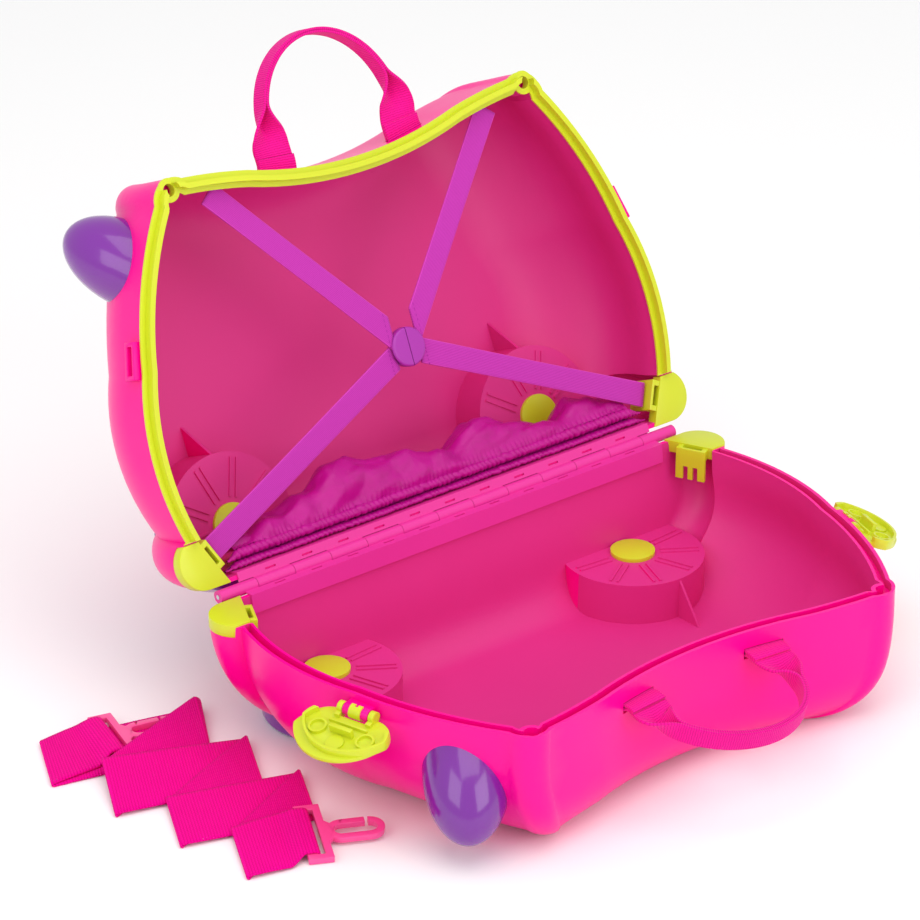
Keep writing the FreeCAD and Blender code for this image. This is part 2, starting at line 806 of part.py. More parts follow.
def lever_face(inset):
    """The lever's leaf-shaped outline, shut, as a face at its inner side."""
    level = catch_pivot_out + lever_stand
    shoulder = lever_length * lever_shoulder_share
    half, ear = lever_half_width - inset, ear_offset + ear_thickness / 2 - inset
    near, far = inset, lever_length - inset

    def at(along, away):
        """A point of the lever's inner side: along the pivot, and away from it."""
        return Vector(level, along, catch_pivot_depth - away)

    bow = ear + (half - ear) * lever_bow_share
    rise = near + shoulder * lever_rise_share
    edges = [Part.makeLine(at(-ear, near), at(ear, near)),
             Part.Arc(at(ear, near), at(bow, rise), at(half, shoulder)).toShape(),
             Part.Arc(at(half, shoulder), at(0, far), at(-half, shoulder)).toShape(),
             Part.Arc(at(-half, shoulder), at(-bow, rise), at(-ear, near)).toShape()]
    return Part.Face(Part.Wire(edges))


def lever_bosses():
    """Raised rings and a bar on the lever's inner side, shut."""
    inside = catch_pivot_out + lever_stand
    low = inside - lever_boss_height
    depth = catch_pivot_depth - lever_ring_away
    bosses = [catch_block((low, inside), (-lever_bar_half, lever_bar_half),
                          (catch_pivot_depth - lever_bar_start - lever_boss_wall,
                           catch_pivot_depth - lever_bar_start))]
    for side in (-1, 1):
        start = Vector(low, side * lever_ring_along, depth)
        ring, hole = (Part.makeCylinder(radius, lever_boss_height, start, Vector(1, 0, 0))
                      for radius in (lever_ring_radius, lever_ring_radius - lever_boss_wall))
        bosses.append(ring.cut(hole))
    return bosses


def lever_lip():
    """The crescent beside the lever's edge that a finger lifts, shut."""
    face = lever_face(0.0)
    face.translate(Vector(lever_thickness / 2, -lever_lip_shift, -lever_lip_shift))
    core = lever_face(lever_lip_inset).extrude(Vector(lever_thickness + lever_lip_height + overrun, 0, 0))
    return face.extrude(Vector(lever_thickness / 2 + lever_lip_height, 0, 0)).cut(core)


def hook_span():
    """Depths that the lever's hook takes inside the strike's window, shut."""
    low = -strike_end + strike_wall + hook_clearance
    return low, -strike_start - strike_wall - hook_clearance


def catch_lever():
    """The lever, shut: a leaf-shaped plate with a rim, two ears, and the hook for the strike."""
    inside = catch_pivot_out + lever_stand
    plate = lever_face(0.0).extrude(Vector(lever_thickness, 0, 0))
    rim = lever_face(0.0).cut(lever_face(lever_rim)).extrude(Vector(-lever_rim_height, 0, 0))
    clear = catch_pivot_depth - lever_throat - lever_rim
    rim = rim.cut(catch_block((inside - lever_rim_height - overrun, inside),
                              (-half_length, half_length), (clear, catch_pivot_depth + overrun)))
    pieces = [rim]
    for side in (-1, 1):
        edges = (side * ear_offset - ear_thickness / 2, side * ear_offset + ear_thickness / 2)
        pieces.append(catch_round(ear_radius, edges))
        pieces.append(catch_block((catch_pivot_out, inside + lever_thickness), edges,
                                  (catch_pivot_depth - lever_throat - lever_rim, catch_pivot_depth)))
    low, high = hook_span()
    half = strike_half_width - strike_wall - hook_clearance
    pieces.append(catch_block((inside - hook_reach, inside), (-half, half), (low, high)))
    pieces += lever_bosses() + [lever_lip()]
    throat = ear_offset - ear_thickness / 2
    cuts = [catch_block((inside - overrun, inside + lever_thickness + overrun), (-throat, throat),
                        (catch_pivot_depth - lever_throat, catch_pivot_depth + lever_throat)),
            catch_round(catch_pin_radius + pin_clearance, (-lever_half_width, lever_half_width)),
            lock_post(lock_radius + pin_clearance, (inside - overrun, inside + lever_thickness + overrun))]
    return plate.fuse(pieces).cut(cuts)


def lock_post(radius, out):
    """A round post on the lock's axis in the lever, shut, between two distances outwards."""
    start = Vector(out[0], 0, catch_pivot_depth - lock_place)
    return Part.makeCylinder(radius, out[1] - out[0], start, Vector(1, 0, 0))


def lock_barrel():
    """The lock's barrel in the lever, shut, with a flange on each side and a key slot."""
    inside = catch_pivot_out + lever_stand
    outside = inside + lever_thickness
    body = lock_post(lock_radius, (inside - lock_gap, outside + lock_gap))
    end = outside + lock_gap + lock_flange_thickness
    start = inside - lock_gap - lock_flange_thickness
    body = body.fuse([lock_post(lock_flange, (outside + lock_gap, end)),
                      lock_post(lock_flange, (start, inside - lock_gap))])
    middle = catch_pivot_depth - lock_place
    slot = catch_block((outside - lock_flange_thickness, end + overrun),
                       (-lock_slot_width / 2, lock_slot_width / 2),
                       (middle - lock_slot_length / 2, middle + lock_slot_length / 2))
    return body.cut(slot)


def catch_bracket(outer):
    """The bracket between the lever's ears, seated on the base's end wall."""
    half = ear_offset - ear_thickness / 2 - catch_bracket_gap
    body = catch_round(catch_bracket_radius, (-half, half))
    body = body.fuse(catch_block((-rim_width, catch_pivot_out), (-half, half),
                                 (catch_pivot_depth - catch_bracket_radius,
                                  catch_pivot_depth + catch_bracket_radius)))
    body = body.cut(catch_round(catch_pin_radius + pin_clearance, (-lever_half_width, lever_half_width)))
    return seated(body, outer)


def catch_clip():
    """The clip over the outer side of the bracket, with a notch in each edge."""
    outside = catch_bracket_radius + clip_thickness
    clip = catch_round(outside, (-clip_half, clip_half)).cut(
        catch_round(catch_bracket_radius, (-clip_half, clip_half)))
    wide = (-clip_half - overrun, clip_half + overrun)
    tall = (catch_pivot_depth - outside - overrun, catch_pivot_depth + outside + overrun)
    cuts = [catch_block((catch_pivot_out - outside - overrun, catch_pivot_out), wide, tall)]
    notch = (catch_pivot_out, catch_pivot_out + catch_bracket_radius / 2)
    cuts.append(catch_block(notch, (-clip_notch / 2, clip_notch / 2), tall))
    clip = clip.cut(cuts)
    clip.Placement = catch_frame()
    return clip


def catch_strike(outer):
    """The frame on the lid's end wall that the lever's hook goes into."""
    body = catch_block((-rim_width, strike_out), (-strike_half_width, strike_half_width),
                       (strike_start, strike_end))
    window = catch_block((-rim_width - overrun, strike_out + overrun),
                         (strike_wall - strike_half_width, strike_half_width - strike_wall),
                         (strike_start + strike_wall, strike_end - strike_wall))
    return seated(body.cut(window), outer)


def seated(shape, outer):
    """A piece of a catch's own frame, placed on the end wall and cut to lie against it."""
    shape.Placement = catch_frame()
    return max(shape.cut(outer).Solids, key=lambda solid: solid.Volume)


def catch_pin():
    """The pin through the lever's ears and the bracket."""
    reach = ear_offset + ear_thickness / 2
    return catch_round(catch_pin_radius, (-reach, reach))


def swung_open(shape):
    """A piece of the lever's body, turned from shut to open and placed on the end wall."""
    shape.rotate(Vector(catch_pivot_out, 0, catch_pivot_depth), Vector(0, -1, 0), catch_open_angle)
    shape.Placement = catch_frame().multiply(shape.Placement)
    return shape


def strap_between(start, end, layer):
    """A flat strap of the lid between two places of (x, h), in the first or second layer."""
    along = unit(end[0] - start[0], end[1] - start[1])
    across = (-along[1] * strap_width / 2, along[0] * strap_width / 2)
    near = strap_depth + layer * (strap_thickness + strap_layer_gap)
    corners = [(p[0] + side * across[0], p[1] + side * across[1])
               for p, side in ((start, -1), (end, -1), (end, 1), (start, 1))]
    return prism(corners, (near, near + strap_thickness))


def bracket_face():
    """Middle of the face of a corner bracket that a strap comes out of, at the +X end."""
    foot, top = block_line()
    middle = between(foot, top, (bracket_start_share + bracket_end_share) / 2)
    along = unit(top[0] - foot[0], top[1] - foot[1])
    away = bracket_slot + bracket_thickness + strap_gap
    return middle[0] - along[1] * away, middle[1] + along[0] * away


def upper_strap(side):
    """The strap from the seal down to the buckle."""
    inside = Part.Face(outline_wire(rim_gap, rim_width + strap_gap, at=0.0))
    inside = inside.extrude(Vector(0, 0, -half_depth))
    start = (side * (half_length - strap_anchor_inset), case_height)
    strap = strap_between(start, (buckle_x, buckle_height), 0)
    return strap.common(inside).common(beyond_buckle(side))


def lower_strap(side):
    """The strap from a corner block's bracket up to the buckle."""
    x, h = bracket_face()
    return strap_between((side * x, h), (buckle_x, buckle_height), 1).common(beyond_buckle(side))


def beyond_buckle(side):
    """The room on one side of the buckle, from the bottom of its slot outwards."""
    edges = sorted((buckle_x + side * (buckle_radius - buckle_bite), side * half_length))
    return block_between(edges, (0.0, case_height), (0.0, half_depth))


def buckle_half(side):
    """Half of the round buckle, with a slot for the two straps sewn to it."""
    middle = strap_depth + strap_thickness + strap_layer_gap / 2
    span = (middle - buckle_thickness / 2, middle + buckle_thickness / 2)
    disc = post(buckle_x, buckle_height, buckle_radius, span)
    rims = [edge for edge in disc.Edges if edge.BoundBox.ZLength < overrun]
    disc = disc.makeFillet(buckle_edge, rims)
    reach = buckle_radius + overrun
    tall = (buckle_height - reach, buckle_height + reach)
    edges = sorted((buckle_x + side * buckle_split / 2, buckle_x + side * reach))
    half = disc.common(block_between(edges, tall, (span[0] - overrun, span[1] + overrun)))
    floor = buckle_radius - buckle_bite - buckle_slot_clearance
    slot = sorted((buckle_x + side * floor, buckle_x + side * reach))
    thick = 2 * strap_thickness + strap_layer_gap + 2 * buckle_slot_clearance
    return half.cut(block_between(slot, tall, (middle - thick / 2, middle + thick / 2)))


def lip_start():
    """Height at which the pocket's first lip starts, clear of the hinge leaf."""
    return hinge_inside(leaf_depth) + leaf_seat + leaf_thickness + bag_gap


def pocket_lip(index):
    """One of the two elastic lips of the pocket."""
    start = lip_start() + index * (lip_thickness + lip_gap)
    return block_between((-pocket_half_length, pocket_half_length), (start, start + lip_thickness),
                         (lip_depth, lip_depth + lip_height))


def pocket_bag():
    """The pocket's bag of cloth: open at the lips, along the hinge wall, with a round front."""
    top = lip_depth + lip_height + bag_gap
    foot = hinge_inside(top) + leaf_seat + leaf_thickness + bag_gap
    back = hinge_inside(bag_depth) + bag_gap
    shoulder = top + (bag_depth - top) * (1.0 - bag_shoulder_share)
    reach = bag_reach - (bag_reach - lip_start()) * (1.0 - bag_shoulder_share)

    def filled(inset, rise):
        """The bag as a solid, smaller by inset all round and taller by rise at its mouth."""
        points = [(foot + inset, top - rise), (reach - inset, top - rise), (bag_reach - inset, shoulder),
                  (reach - inset, bag_depth - inset), (back + inset, bag_depth - inset)]
        half = pocket_half_length - inset
        corners = [place(-half, h, d) for h, d in points]
        edges = [Part.makeLine(corners[0], corners[1]), Part.Arc(*corners[1:4]).toShape(),
                 Part.makeLine(corners[3], corners[4]), Part.makeLine(corners[4], corners[0])]
        return Part.Face(Part.Wire(edges)).extrude(Vector(2 * half, 0, 0))

    return filled(0.0, 0.0).cut(filled(bag_thickness, overrun))


def tow_stops():
    """Where the tow strap's stretches start and end, as (x, h, angle): a hook, the folds, a hook."""
    folds = []
    for i in range(len(tow_levels) - 1):
        row = i // 2
        left = (-tow_near - tow_span + row * tow_skew, tow_first + row * tow_step)
        right = (-tow_near, tow_first + tow_rise + row * tow_step)
        folds.append((left, right)[i % 2] + (tow_fold_angle,))
    first = (folds[0][0] + tow_first_tail, folds[0][1], tow_first_angle)
    along = unit(tow_span, tow_rise)
    end = [folds[-1][i] + along[i] * tow_last_tail for i in range(len(along))]
    last = (*end, tow_fold_angle)
    return [first] + folds + [last]


def tow_edge(stop, low, high):
    """Ends of the webbing's edge at a stop: the one nearer to the saddle, then the other."""
    x, h, angle = stop
    across = tow_across(angle) * (tow_width / 2)
    return Vector(x, -h, low * tow_layer) + across, Vector(x, -h, high * tow_layer) - across


def tow_across(angle):
    """Direction along the webbing's edge at a stop, towards the saddle."""
    turn = math.radians(angle)
    return Vector(-math.cos(turn), -math.sin(turn), 0)


def tow_forward(angle):
    """Direction square to the webbing's edge at a stop, towards the case."""
    turn = math.radians(angle)
    return Vector(math.sin(turn), -math.cos(turn), 0)


def tow_wire(edge, top_edge):
    """The four-sided section between a lower and an upper edge, as thick as the webbing on top."""
    up = Vector(0, 0, tow_thickness)
    corners = [edge[0], edge[1], top_edge[1] + up, top_edge[0] + up]
    return Part.makePolygon(corners + corners[:1])


def tow_strap():
    """The webbing: flat stretches laid over each other, joined by a fold at each end."""
    stops = tow_stops()
    pieces, ends = [], []
    for i, levels in enumerate(tow_levels):
        edges = tow_edge(stops[i], *levels[:2]), tow_edge(stops[i + 1], *levels[2:])
        pieces.append(Part.makeLoft([tow_wire(edge, edge) for edge in edges], True, True))
        ends.append(edges)
    for i, (before, after) in enumerate(zip(ends, ends[1:])):
        lower, upper = sorted((before[1], after[0]), key=lambda edge: edge[0].z + edge[1].z)
        section = Part.Face(tow_wire(lower, upper))
        out = tow_forward(tow_fold_angle) * (tow_thickness if i % 2 else -tow_thickness)
        pieces.append(section.extrude(out))
    pieces += [tow_loop(ends[0][0], stops[0][2]), tow_loop(ends[-1][1], stops[-1][2])]
    return pieces[0].fuse(pieces[1:]).removeSplitter()


def tow_frame(edge, angle):
    """Placement of a hook's own frame: X away from the webbing's end, Y along its edge, Z up."""
    forward = tow_forward(angle)
    across = (edge[1] - edge[0]).normalize()
    middle = (edge[0] + edge[1]) / 2 + forward * seat_gap
    return Placement(middle, Rotation(forward, across, forward.cross(across), "XYZ"))


def tow_loop(edge, angle):
    """The webbing's end, which goes over a hook's bar and down through its slot."""
    top = tow_hook_thickness + seat_gap
    high = top + tow_thickness
    start, near = -seat_gap - tow_thickness, -seat_gap
    far = tow_hook_bar + seat_gap
    end = far + tow_thickness
    half = tow_width / 2 - tow_hook_wire - seat_gap
    points = [(start, 0), (near, 0), (near, top), (far, top),
              (far, seat_gap), (end, seat_gap), (end, high), (start, high)]
    corners = [Vector(along, -half, up) for along, up in points]
    loop = Part.Face(Part.makePolygon(corners + corners[:1])).extrude(Vector(0, 2 * half, 0))
    loop.Placement = tow_frame(edge, angle)
    return loop


def tow_hook(edge, angle):
    """A hook at the webbing's edge: a frame with a slot, a neck and a long loop with an open gate."""
    far = tow_hook_bar + tow_hook_slot
    half = tow_width / 2

    def flat(points):
        """A plate on a polygon of (along, across)."""
        corners = [Vector(a, b, 0) for a, b in points]
        return Part.Face(Part.makePolygon(corners + corners[:1])).extrude(Vector(0, 0, tow_hook_thickness))

    front = far + tow_hook_front
    neck = front + tow_hook_taper
    yoke = flat([(0, -half), (front, -half), (front, -tow_hook_neck), (neck, -tow_hook_neck / 2),
                 (neck, tow_hook_neck / 2), (front, tow_hook_neck), (front, half), (0, half)])
    slot = flat([(tow_hook_bar, -half + tow_hook_wire), (far, -half + tow_hook_wire),
                 (far, half - tow_hook_wire), (tow_hook_bar, half - tow_hook_wire)])
    radius = tow_hook_loop_width / 2
    start = neck - tow_hook_wire + radius
    end = neck + tow_hook_loop - radius

    def long_round(size):
        """A plate with round ends along the hook."""
        ends = [Part.makeCylinder(size, tow_hook_thickness, Vector(x, 0, 0)) for x in (start, end)]
        return flat([(start, -size), (end, -size), (end, size), (start, size)]).fuse(ends)

    near, reach = end - tow_hook_gate, radius + overrun
    gate = flat([(near, 0), (end, 0), (end, reach), (near, reach)])
    loop = long_round(radius).cut([long_round(radius - tow_hook_wire), gate])
    body = yoke.cut([slot, long_round(radius - tow_hook_wire)]).fuse(loop).removeSplitter()
    body.Placement = tow_frame(edge, angle)
    return body


def to_base(shape):
    """A piece of the half frame, placed in the base."""
    moved = shape.copy()
    moved.translate(Vector(0, case_height / 2, half_depth))
    return moved


def to_lid(shape):
    """A piece of the half frame, mirrored into the lid and swung open."""
    moved = shape.mirror(Vector(), Vector(0, 0, 1))
    moved.rotate(Vector(), Vector(1, 0, 0), -open_angle)
    moved.translate(Vector(0, case_height / 2, half_depth))
    return moved


def on_floor(shape):
    """A piece that lies on the floor, drawn with the floor at zero."""
    moved = shape.copy()
    moved.translate(Vector(0, case_height / 2, 0))
    return moved


def export(name, shapes):
    """Writes one node, as a solid or as a group of separate solids."""
    shape = shapes[0] if len(shapes) == 1 else Part.makeCompound(shapes)
    solids = shape.Solids
    if not shape.isValid() or len(solids) != len(shapes):
        print("check", name, "valid", shape.isValid(), "solids", len(solids), "of", len(shapes))
    shape.exportStep("parts/" + name + ".step")


def export_half_pieces(name, shape):
    """Writes the four copies of a piece: at both ends of the base and of the lid."""
    for side, piece in zip(("right", "left"), both_ends(shape)):
        export("base_" + side + "_" + name, [to_base(piece)])
        export("lid_" + side + "_" + name, [to_lid(piece)])


def export_half_groups(name, shape):
    """Writes a piece that is at both ends of each half, as one group for each half."""
    export("base_" + name, [to_base(piece) for piece in both_ends(shape)])
    export("lid_" + name, [to_lid(piece) for piece in both_ends(shape)])


def build():
    """Makes every piece and writes it."""
    os.makedirs("parts", exist_ok=True)
    outer = outer_body()
    half = shell()
    export("base_shell", [to_base(base_shell(half))])
    export("lid_shell", [to_lid(half)])
    export("lid_seal", [to_lid(lid_seal())])
    export_half_pieces("corner_block", corner_block())
    export("base_hinge_leaf", [to_base(hinge_leaf(0).cut(half))])
    export("lid_hinge_leaf", [to_lid(hinge_leaf(1).cut(half))])
    export("hinge_pin", [to_base(bar(hinge_pin_radius, barrel_half_length))])
    export_half_pieces("wheel", wheel())
    export_half_groups("axles", axle())
    export_half_groups("axle_caps", axle_cap())
    export_half_groups("axle_washers", axle_washer())
    export("base_horn", [to_base(horn(outer))])
    export("lid_horn", [to_lid(horn(outer))])
    base_loop = handle(base_handle_leg, base_handle_reach, base_handle_fold_start, base_handle_fold_length,
                       base_handle_sway, base_handle_droop_angle)
    lid_loop = handle(lid_handle_leg, lid_handle_reach, lid_handle_fold_start, lid_handle_fold_length)
    export("base_handle", [to_base(base_loop)])
    export("lid_handle", [to_lid(lid_loop)])
    pins = [handle_pin(side, handle_pin_radius) for side in (-1, 1)]
    export("base_handle_pins", [to_base(pin) for pin in pins])
    export("lid_handle_pins", [to_lid(pin) for pin in pins])
    catch_pieces = {"catch_lever": swung_open(catch_lever()), "catch_lock": swung_open(lock_barrel()),
                    "catch_pin": swung_open(catch_pin()), "catch_bracket": catch_bracket(outer),
                    "catch_clip": catch_clip()}
    for name, shape in catch_pieces.items():
        for side, piece in zip(("right", "left"), both_ends(shape)):
            export(side + "_" + name, [to_base(piece)])
    for side, piece in zip(("right", "left"), both_ends(catch_strike(outer))):
        export(side + "_catch_strike", [to_lid(piece)])
    for name, side in (("right", 1), ("left", -1)):
        export(name + "_upper_strap", [to_lid(upper_strap(side))])
        export(name + "_lower_strap", [to_lid(lower_strap(side))])
        export(name + "_buckle_half", [to_lid(buckle_half(side))])
    export("pocket_bag", [to_lid(pocket_bag())])
    export("pocket_lips", [to_lid(pocket_lip(i)) for i in range(2)])
    export("tow_strap", [on_floor(tow_strap())])
    first, last = tow_stops()[0], tow_stops()[-1]
    export("first_tow_hook", [on_floor(tow_hook(tow_edge(first, *tow_levels[0][:2]), first[2]))])
    export("last_tow_hook", [on_floor(tow_hook(tow_edge(last, *tow_levels[-1][2:]), last[2]))])


build()
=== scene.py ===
"""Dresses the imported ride-on suitcase: moulded finishes, webbing, elastic, cloth and the view."""

from __future__ import annotations

import json
import logging
import math
from dataclasses import dataclass, field
from enum import Enum, IntEnum

import bmesh
import bpy
import numpy as np
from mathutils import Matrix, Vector

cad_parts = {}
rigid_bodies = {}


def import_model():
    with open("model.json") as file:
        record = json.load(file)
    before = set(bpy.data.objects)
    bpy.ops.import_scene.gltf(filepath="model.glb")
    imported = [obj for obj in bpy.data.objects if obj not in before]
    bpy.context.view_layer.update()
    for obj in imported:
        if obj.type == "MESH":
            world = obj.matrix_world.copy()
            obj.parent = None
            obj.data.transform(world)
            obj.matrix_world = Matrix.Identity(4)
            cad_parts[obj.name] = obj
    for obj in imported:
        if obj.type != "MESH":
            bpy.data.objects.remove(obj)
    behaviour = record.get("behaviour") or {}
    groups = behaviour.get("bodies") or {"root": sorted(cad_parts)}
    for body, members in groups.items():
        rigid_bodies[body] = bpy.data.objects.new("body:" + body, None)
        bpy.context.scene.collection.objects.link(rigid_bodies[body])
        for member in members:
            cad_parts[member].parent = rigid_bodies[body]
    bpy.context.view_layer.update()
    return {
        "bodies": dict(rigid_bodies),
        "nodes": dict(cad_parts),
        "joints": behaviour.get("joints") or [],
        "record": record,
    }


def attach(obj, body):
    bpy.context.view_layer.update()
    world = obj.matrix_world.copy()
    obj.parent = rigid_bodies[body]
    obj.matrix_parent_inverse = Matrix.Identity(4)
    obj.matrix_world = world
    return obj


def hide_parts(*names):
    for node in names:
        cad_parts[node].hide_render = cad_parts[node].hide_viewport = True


LOG = logging.getLogger("suitcase")
SEED = 7
NOISE_STEPS = 4096
CREASE_STEPS = 64
CUBIC_STEPS = 24
EDGE_POINTS = 4
MERGE = 1e-6

Pair = tuple[float, float]
Triple = tuple[float, float, float]


class Half(Enum):
    """The two halves of the case."""

    BASE = "base"
    LID = "lid"


class Draw(IntEnum):
    """Which random heights each unevenness of the pocket's cloth uses."""

    LARGE_CREASES = 6
    SMALL_CREASES = 7
    DRIFT = 12
    SWELL = 20
    WANDER = 24
    DENT = 27
    JITTER = 31


@dataclass(frozen=True)
class HalfFrame:
    """Turns places of a half into the shared frame.

    A half has x along the hinge, h up to the saddle and d into the half.
    """

    half: Half
    hinge_y: float = 0.140
    hinge_z: float = 0.097
    open_deg: float = 114.3

    def world(self, x: np.ndarray, h: np.ndarray, d: np.ndarray) -> np.ndarray:
        """Places points of the half: the base by a shift, the lid by a mirror and a turn.

        Args:
            x: Distances along the hinge, in metres.
            h: Heights from the hinge towards the saddle, in metres.
            d: Depths from the plane where the halves meet, in metres.

        Returns:
            An array of points with a last axis of three.
        """
        x, h, d = np.broadcast_arrays(x, h, d)
        if self.half is Half.BASE:
            return np.stack((x, self.hinge_y - h, self.hinge_z - d), axis=-1)
        turn = math.radians(self.open_deg)
        y = self.hinge_y - h * math.cos(turn) + d * math.sin(turn)
        z = self.hinge_z + h * math.sin(turn) + d * math.cos(turn)
        return np.stack((x, y, z), axis=-1)

    def local(self, points: np.ndarray) -> np.ndarray:
        """Turns points of the shared frame back into (x, h, d) of the half.

        Args:
            points: An array of points with a last axis of three.

        Returns:
            An array of the same shape.
        """
        y, z = points[..., 1] - self.hinge_y, points[..., 2] - self.hinge_z
        if self.half is Half.BASE:
            return np.stack((points[..., 0], -y, -z), axis=-1)
        turn = math.radians(self.open_deg)
        h = -y * math.cos(turn) + z * math.sin(turn)
        d = y * math.sin(turn) + z * math.cos(turn)
        return np.stack((points[..., 0], h, d), axis=-1)


BASE = HalfFrame(Half.BASE)
LID = HalfFrame(Half.LID)


def smooth_step(share: np.ndarray) -> np.ndarray:
    """Eases a share from 0 to 1 with level ends."""
    share = np.clip(share, 0.0, 1.0)
    return share * share * (3.0 - 2.0 * share)


def value_noise(places: np.ndarray, seed: int) -> np.ndarray:
    """Smooth noise along a line: random heights at whole places, eased between them.

    Args:
        places: Places on the line, in steps of the noise.
        seed: Which noise.

    Returns:
        Heights from -1 to 1, in the shape of places.
    """
    heights = np.random.default_rng(SEED + seed).uniform(-1.0, 1.0, NOISE_STEPS)
    low = np.floor(places).astype(int)
    share = smooth_step(places - low)
    return heights[low % NOISE_STEPS] * (1.0 - share) + heights[(low + 1) % NOISE_STEPS] * share


def crumple(u: np.ndarray, v: np.ndarray, seed: int) -> np.ndarray:
    """Creased heights over a plane: random heights on a grid, with flat triangles between them.

    Args:
        u: Places along the plane's first side, in steps of the grid.
        v: Places along its second side.
        seed: Which heights.

    Returns:
        Heights from -1 to 1, in the shape of u and v together.
    """
    size = (CREASE_STEPS, CREASE_STEPS)
    heights = np.random.default_rng(SEED + seed).uniform(-1.0, 1.0, size)
    i, j = np.floor(u).astype(int), np.floor(v).astype(int)
    a, b = u - i, v - j
    i, j, i_next, j_next = (k % CREASE_STEPS for k in (i, j, i + 1, j + 1))
    near, far = heights[i, j], heights[i_next, j_next]
    first, second = heights[i_next, j], heights[i, j_next]
    below = near + a * (first - near) + b * (far - first)
    above = near + b * (second - near) + a * (far - second)
    return np.where(a > b, below, above)


def soften(values: np.ndarray, rounds: int) -> np.ndarray:
    """Rounds a grid of values off: each becomes the mean of itself and its neighbours.

    Args:
        values: The grid.
        rounds: How many times over.

    Returns:
        A grid of the same shape.
    """
    for _ in range(rounds):
        wide = np.pad(values, 1, mode="edge")
        values = (wide[:-2, 1:-1] + wide[2:, 1:-1] + wide[1:-1, :-2] + wide[1:-1, 2:]
                  + 2 * values) / 6
    return values


def shade(mesh: bpy.types.Mesh, smooth: bool) -> None:
    """Shades all faces of a mesh smooth or flat."""
    mesh.polygons.foreach_set("use_smooth", np.full(len(mesh.polygons), smooth))


def thicken(piece: bpy.types.Object, name: str, thickness: float) -> None:
    """Gives a sheet its thickness, half on each side.

    Args:
        piece: The sheet.
        name: The modifier's name.
        thickness: The thickness, in metres.
    """
    solid = piece.modifiers.new(name, "SOLIDIFY")
    solid.thickness = thickness
    solid.offset = 0.0


def grid_object(name: str, points: np.ndarray, uv: np.ndarray,
                wrap: bool = False) -> bpy.types.Object:
    """Makes an object from a grid of points, a quad between each four neighbours.

    Args:
        name: The object's name.
        points: Points on a grid of rows and columns, in metres.
        uv: A place on the cloth or webbing for each point, in metres.
        wrap: True if the last column is the first again, so that the two are merged.

    Returns:
        The object, linked to the scene, with smooth shading.
    """
    rows, columns = points.shape[:2]
    index = np.arange(rows * columns).reshape(rows, columns)
    corners = (index[:-1, :-1], index[:-1, 1:], index[1:, 1:], index[1:, :-1])
    quads = np.stack(corners, axis=-1).reshape(-1, 4)
    mesh = bpy.data.meshes.new(name)
    mesh.from_pydata(points.reshape(-1, 3).tolist(), [], quads.tolist())
    layer = mesh.uv_layers.new(name="UVMap")
    layer.data.foreach_set("uv", uv.reshape(-1, 2)[quads.ravel()].astype(np.float32).ravel())
    if wrap:
        work = bmesh.new()
        work.from_mesh(mesh)
        bmesh.ops.remove_doubles(work, verts=work.verts, dist=MERGE)
        ends = [edge for edge in work.edges if edge.is_boundary]
        bmesh.ops.holes_fill(work, edges=ends, sides=0)
        bmesh.ops.recalc_face_normals(work, faces=work.faces)
        work.to_mesh(mesh)
        work.free()
    shade(mesh, True)
    made = bpy.data.objects.new(name, mesh)
    bpy.context.scene.collection.objects.link(made)
    return made


def run_length(path: np.ndarray) -> np.ndarray:
    """Distance along a path at each of its points, from zero."""
    return np.concatenate(([0.0], np.cumsum(np.linalg.norm(np.diff(path, axis=0), axis=1))))


def spline_through(points: np.ndarray, count: int) -> np.ndarray:
    """A smooth path through points: a Catmull-Rom cubic between each two, then evenly spaced.

    Args:
        points: The points, in metres.
        count: How many places the path gets.

    Returns:
        An array of count points.
    """
    ends = np.vstack((2 * points[0] - points[1], points, 2 * points[-1] - points[-2]))
    share = np.linspace(0.0, 1.0, CUBIC_STEPS, endpoint=False)[None, :, None]
    a, b, c, d = (ends[i:len(ends) - 3 + i, None, :] for i in range(4))
    fine = 0.5 * (2 * b + (c - a) * share + (2 * a - 5 * b + 4 * c - d) * share ** 2
                  + (3 * b - a - 3 * c + d) * share ** 3)
    fine = np.vstack((fine.reshape(-1, points.shape[1]), points[-1:]))
    along = run_length(fine)
    even = np.linspace(0.0, along[-1], count)
    return np.stack([np.interp(even, along, fine[:, i]) for i in range(points.shape[1])], axis=1)


def band_section(half_width: np.ndarray, half_thick: np.ndarray,
                 sides: int = 10) -> tuple[np.ndarray, np.ndarray]:
    """Sections of a band: a flat bar with round edges, closed on its first point.

    Args:
        half_width: Half the band's width at each place along it.
        half_thick: Half its thickness at each place.
        sides: Points across each face.

    Returns:
        The places across and through the band, each with a row for each place along it.
    """
    edge = np.radians(np.linspace(-90.0, 90.0, EDGE_POINTS + 2))[1:-1]
    face, side, flush = np.linspace(-1.0, 1.0, sides), np.ones(EDGE_POINTS), np.zeros(sides)
    across = np.concatenate((face, side, np.linspace(1.0, -1.0, sides), -side))
    through = np.concatenate((-np.ones(sides), np.sin(edge), np.ones(sides), -np.sin(edge)))
    bulge = np.concatenate((flush, np.cos(edge), flush, -np.cos(edge)))
    across, through, bulge = (np.append(line, line[0]) for line in (across, through, bulge))
    flat = half_width - half_thick
    return (flat[:, None] * across + half_thick[:, None] * bulge, half_thick[:, None] * through)


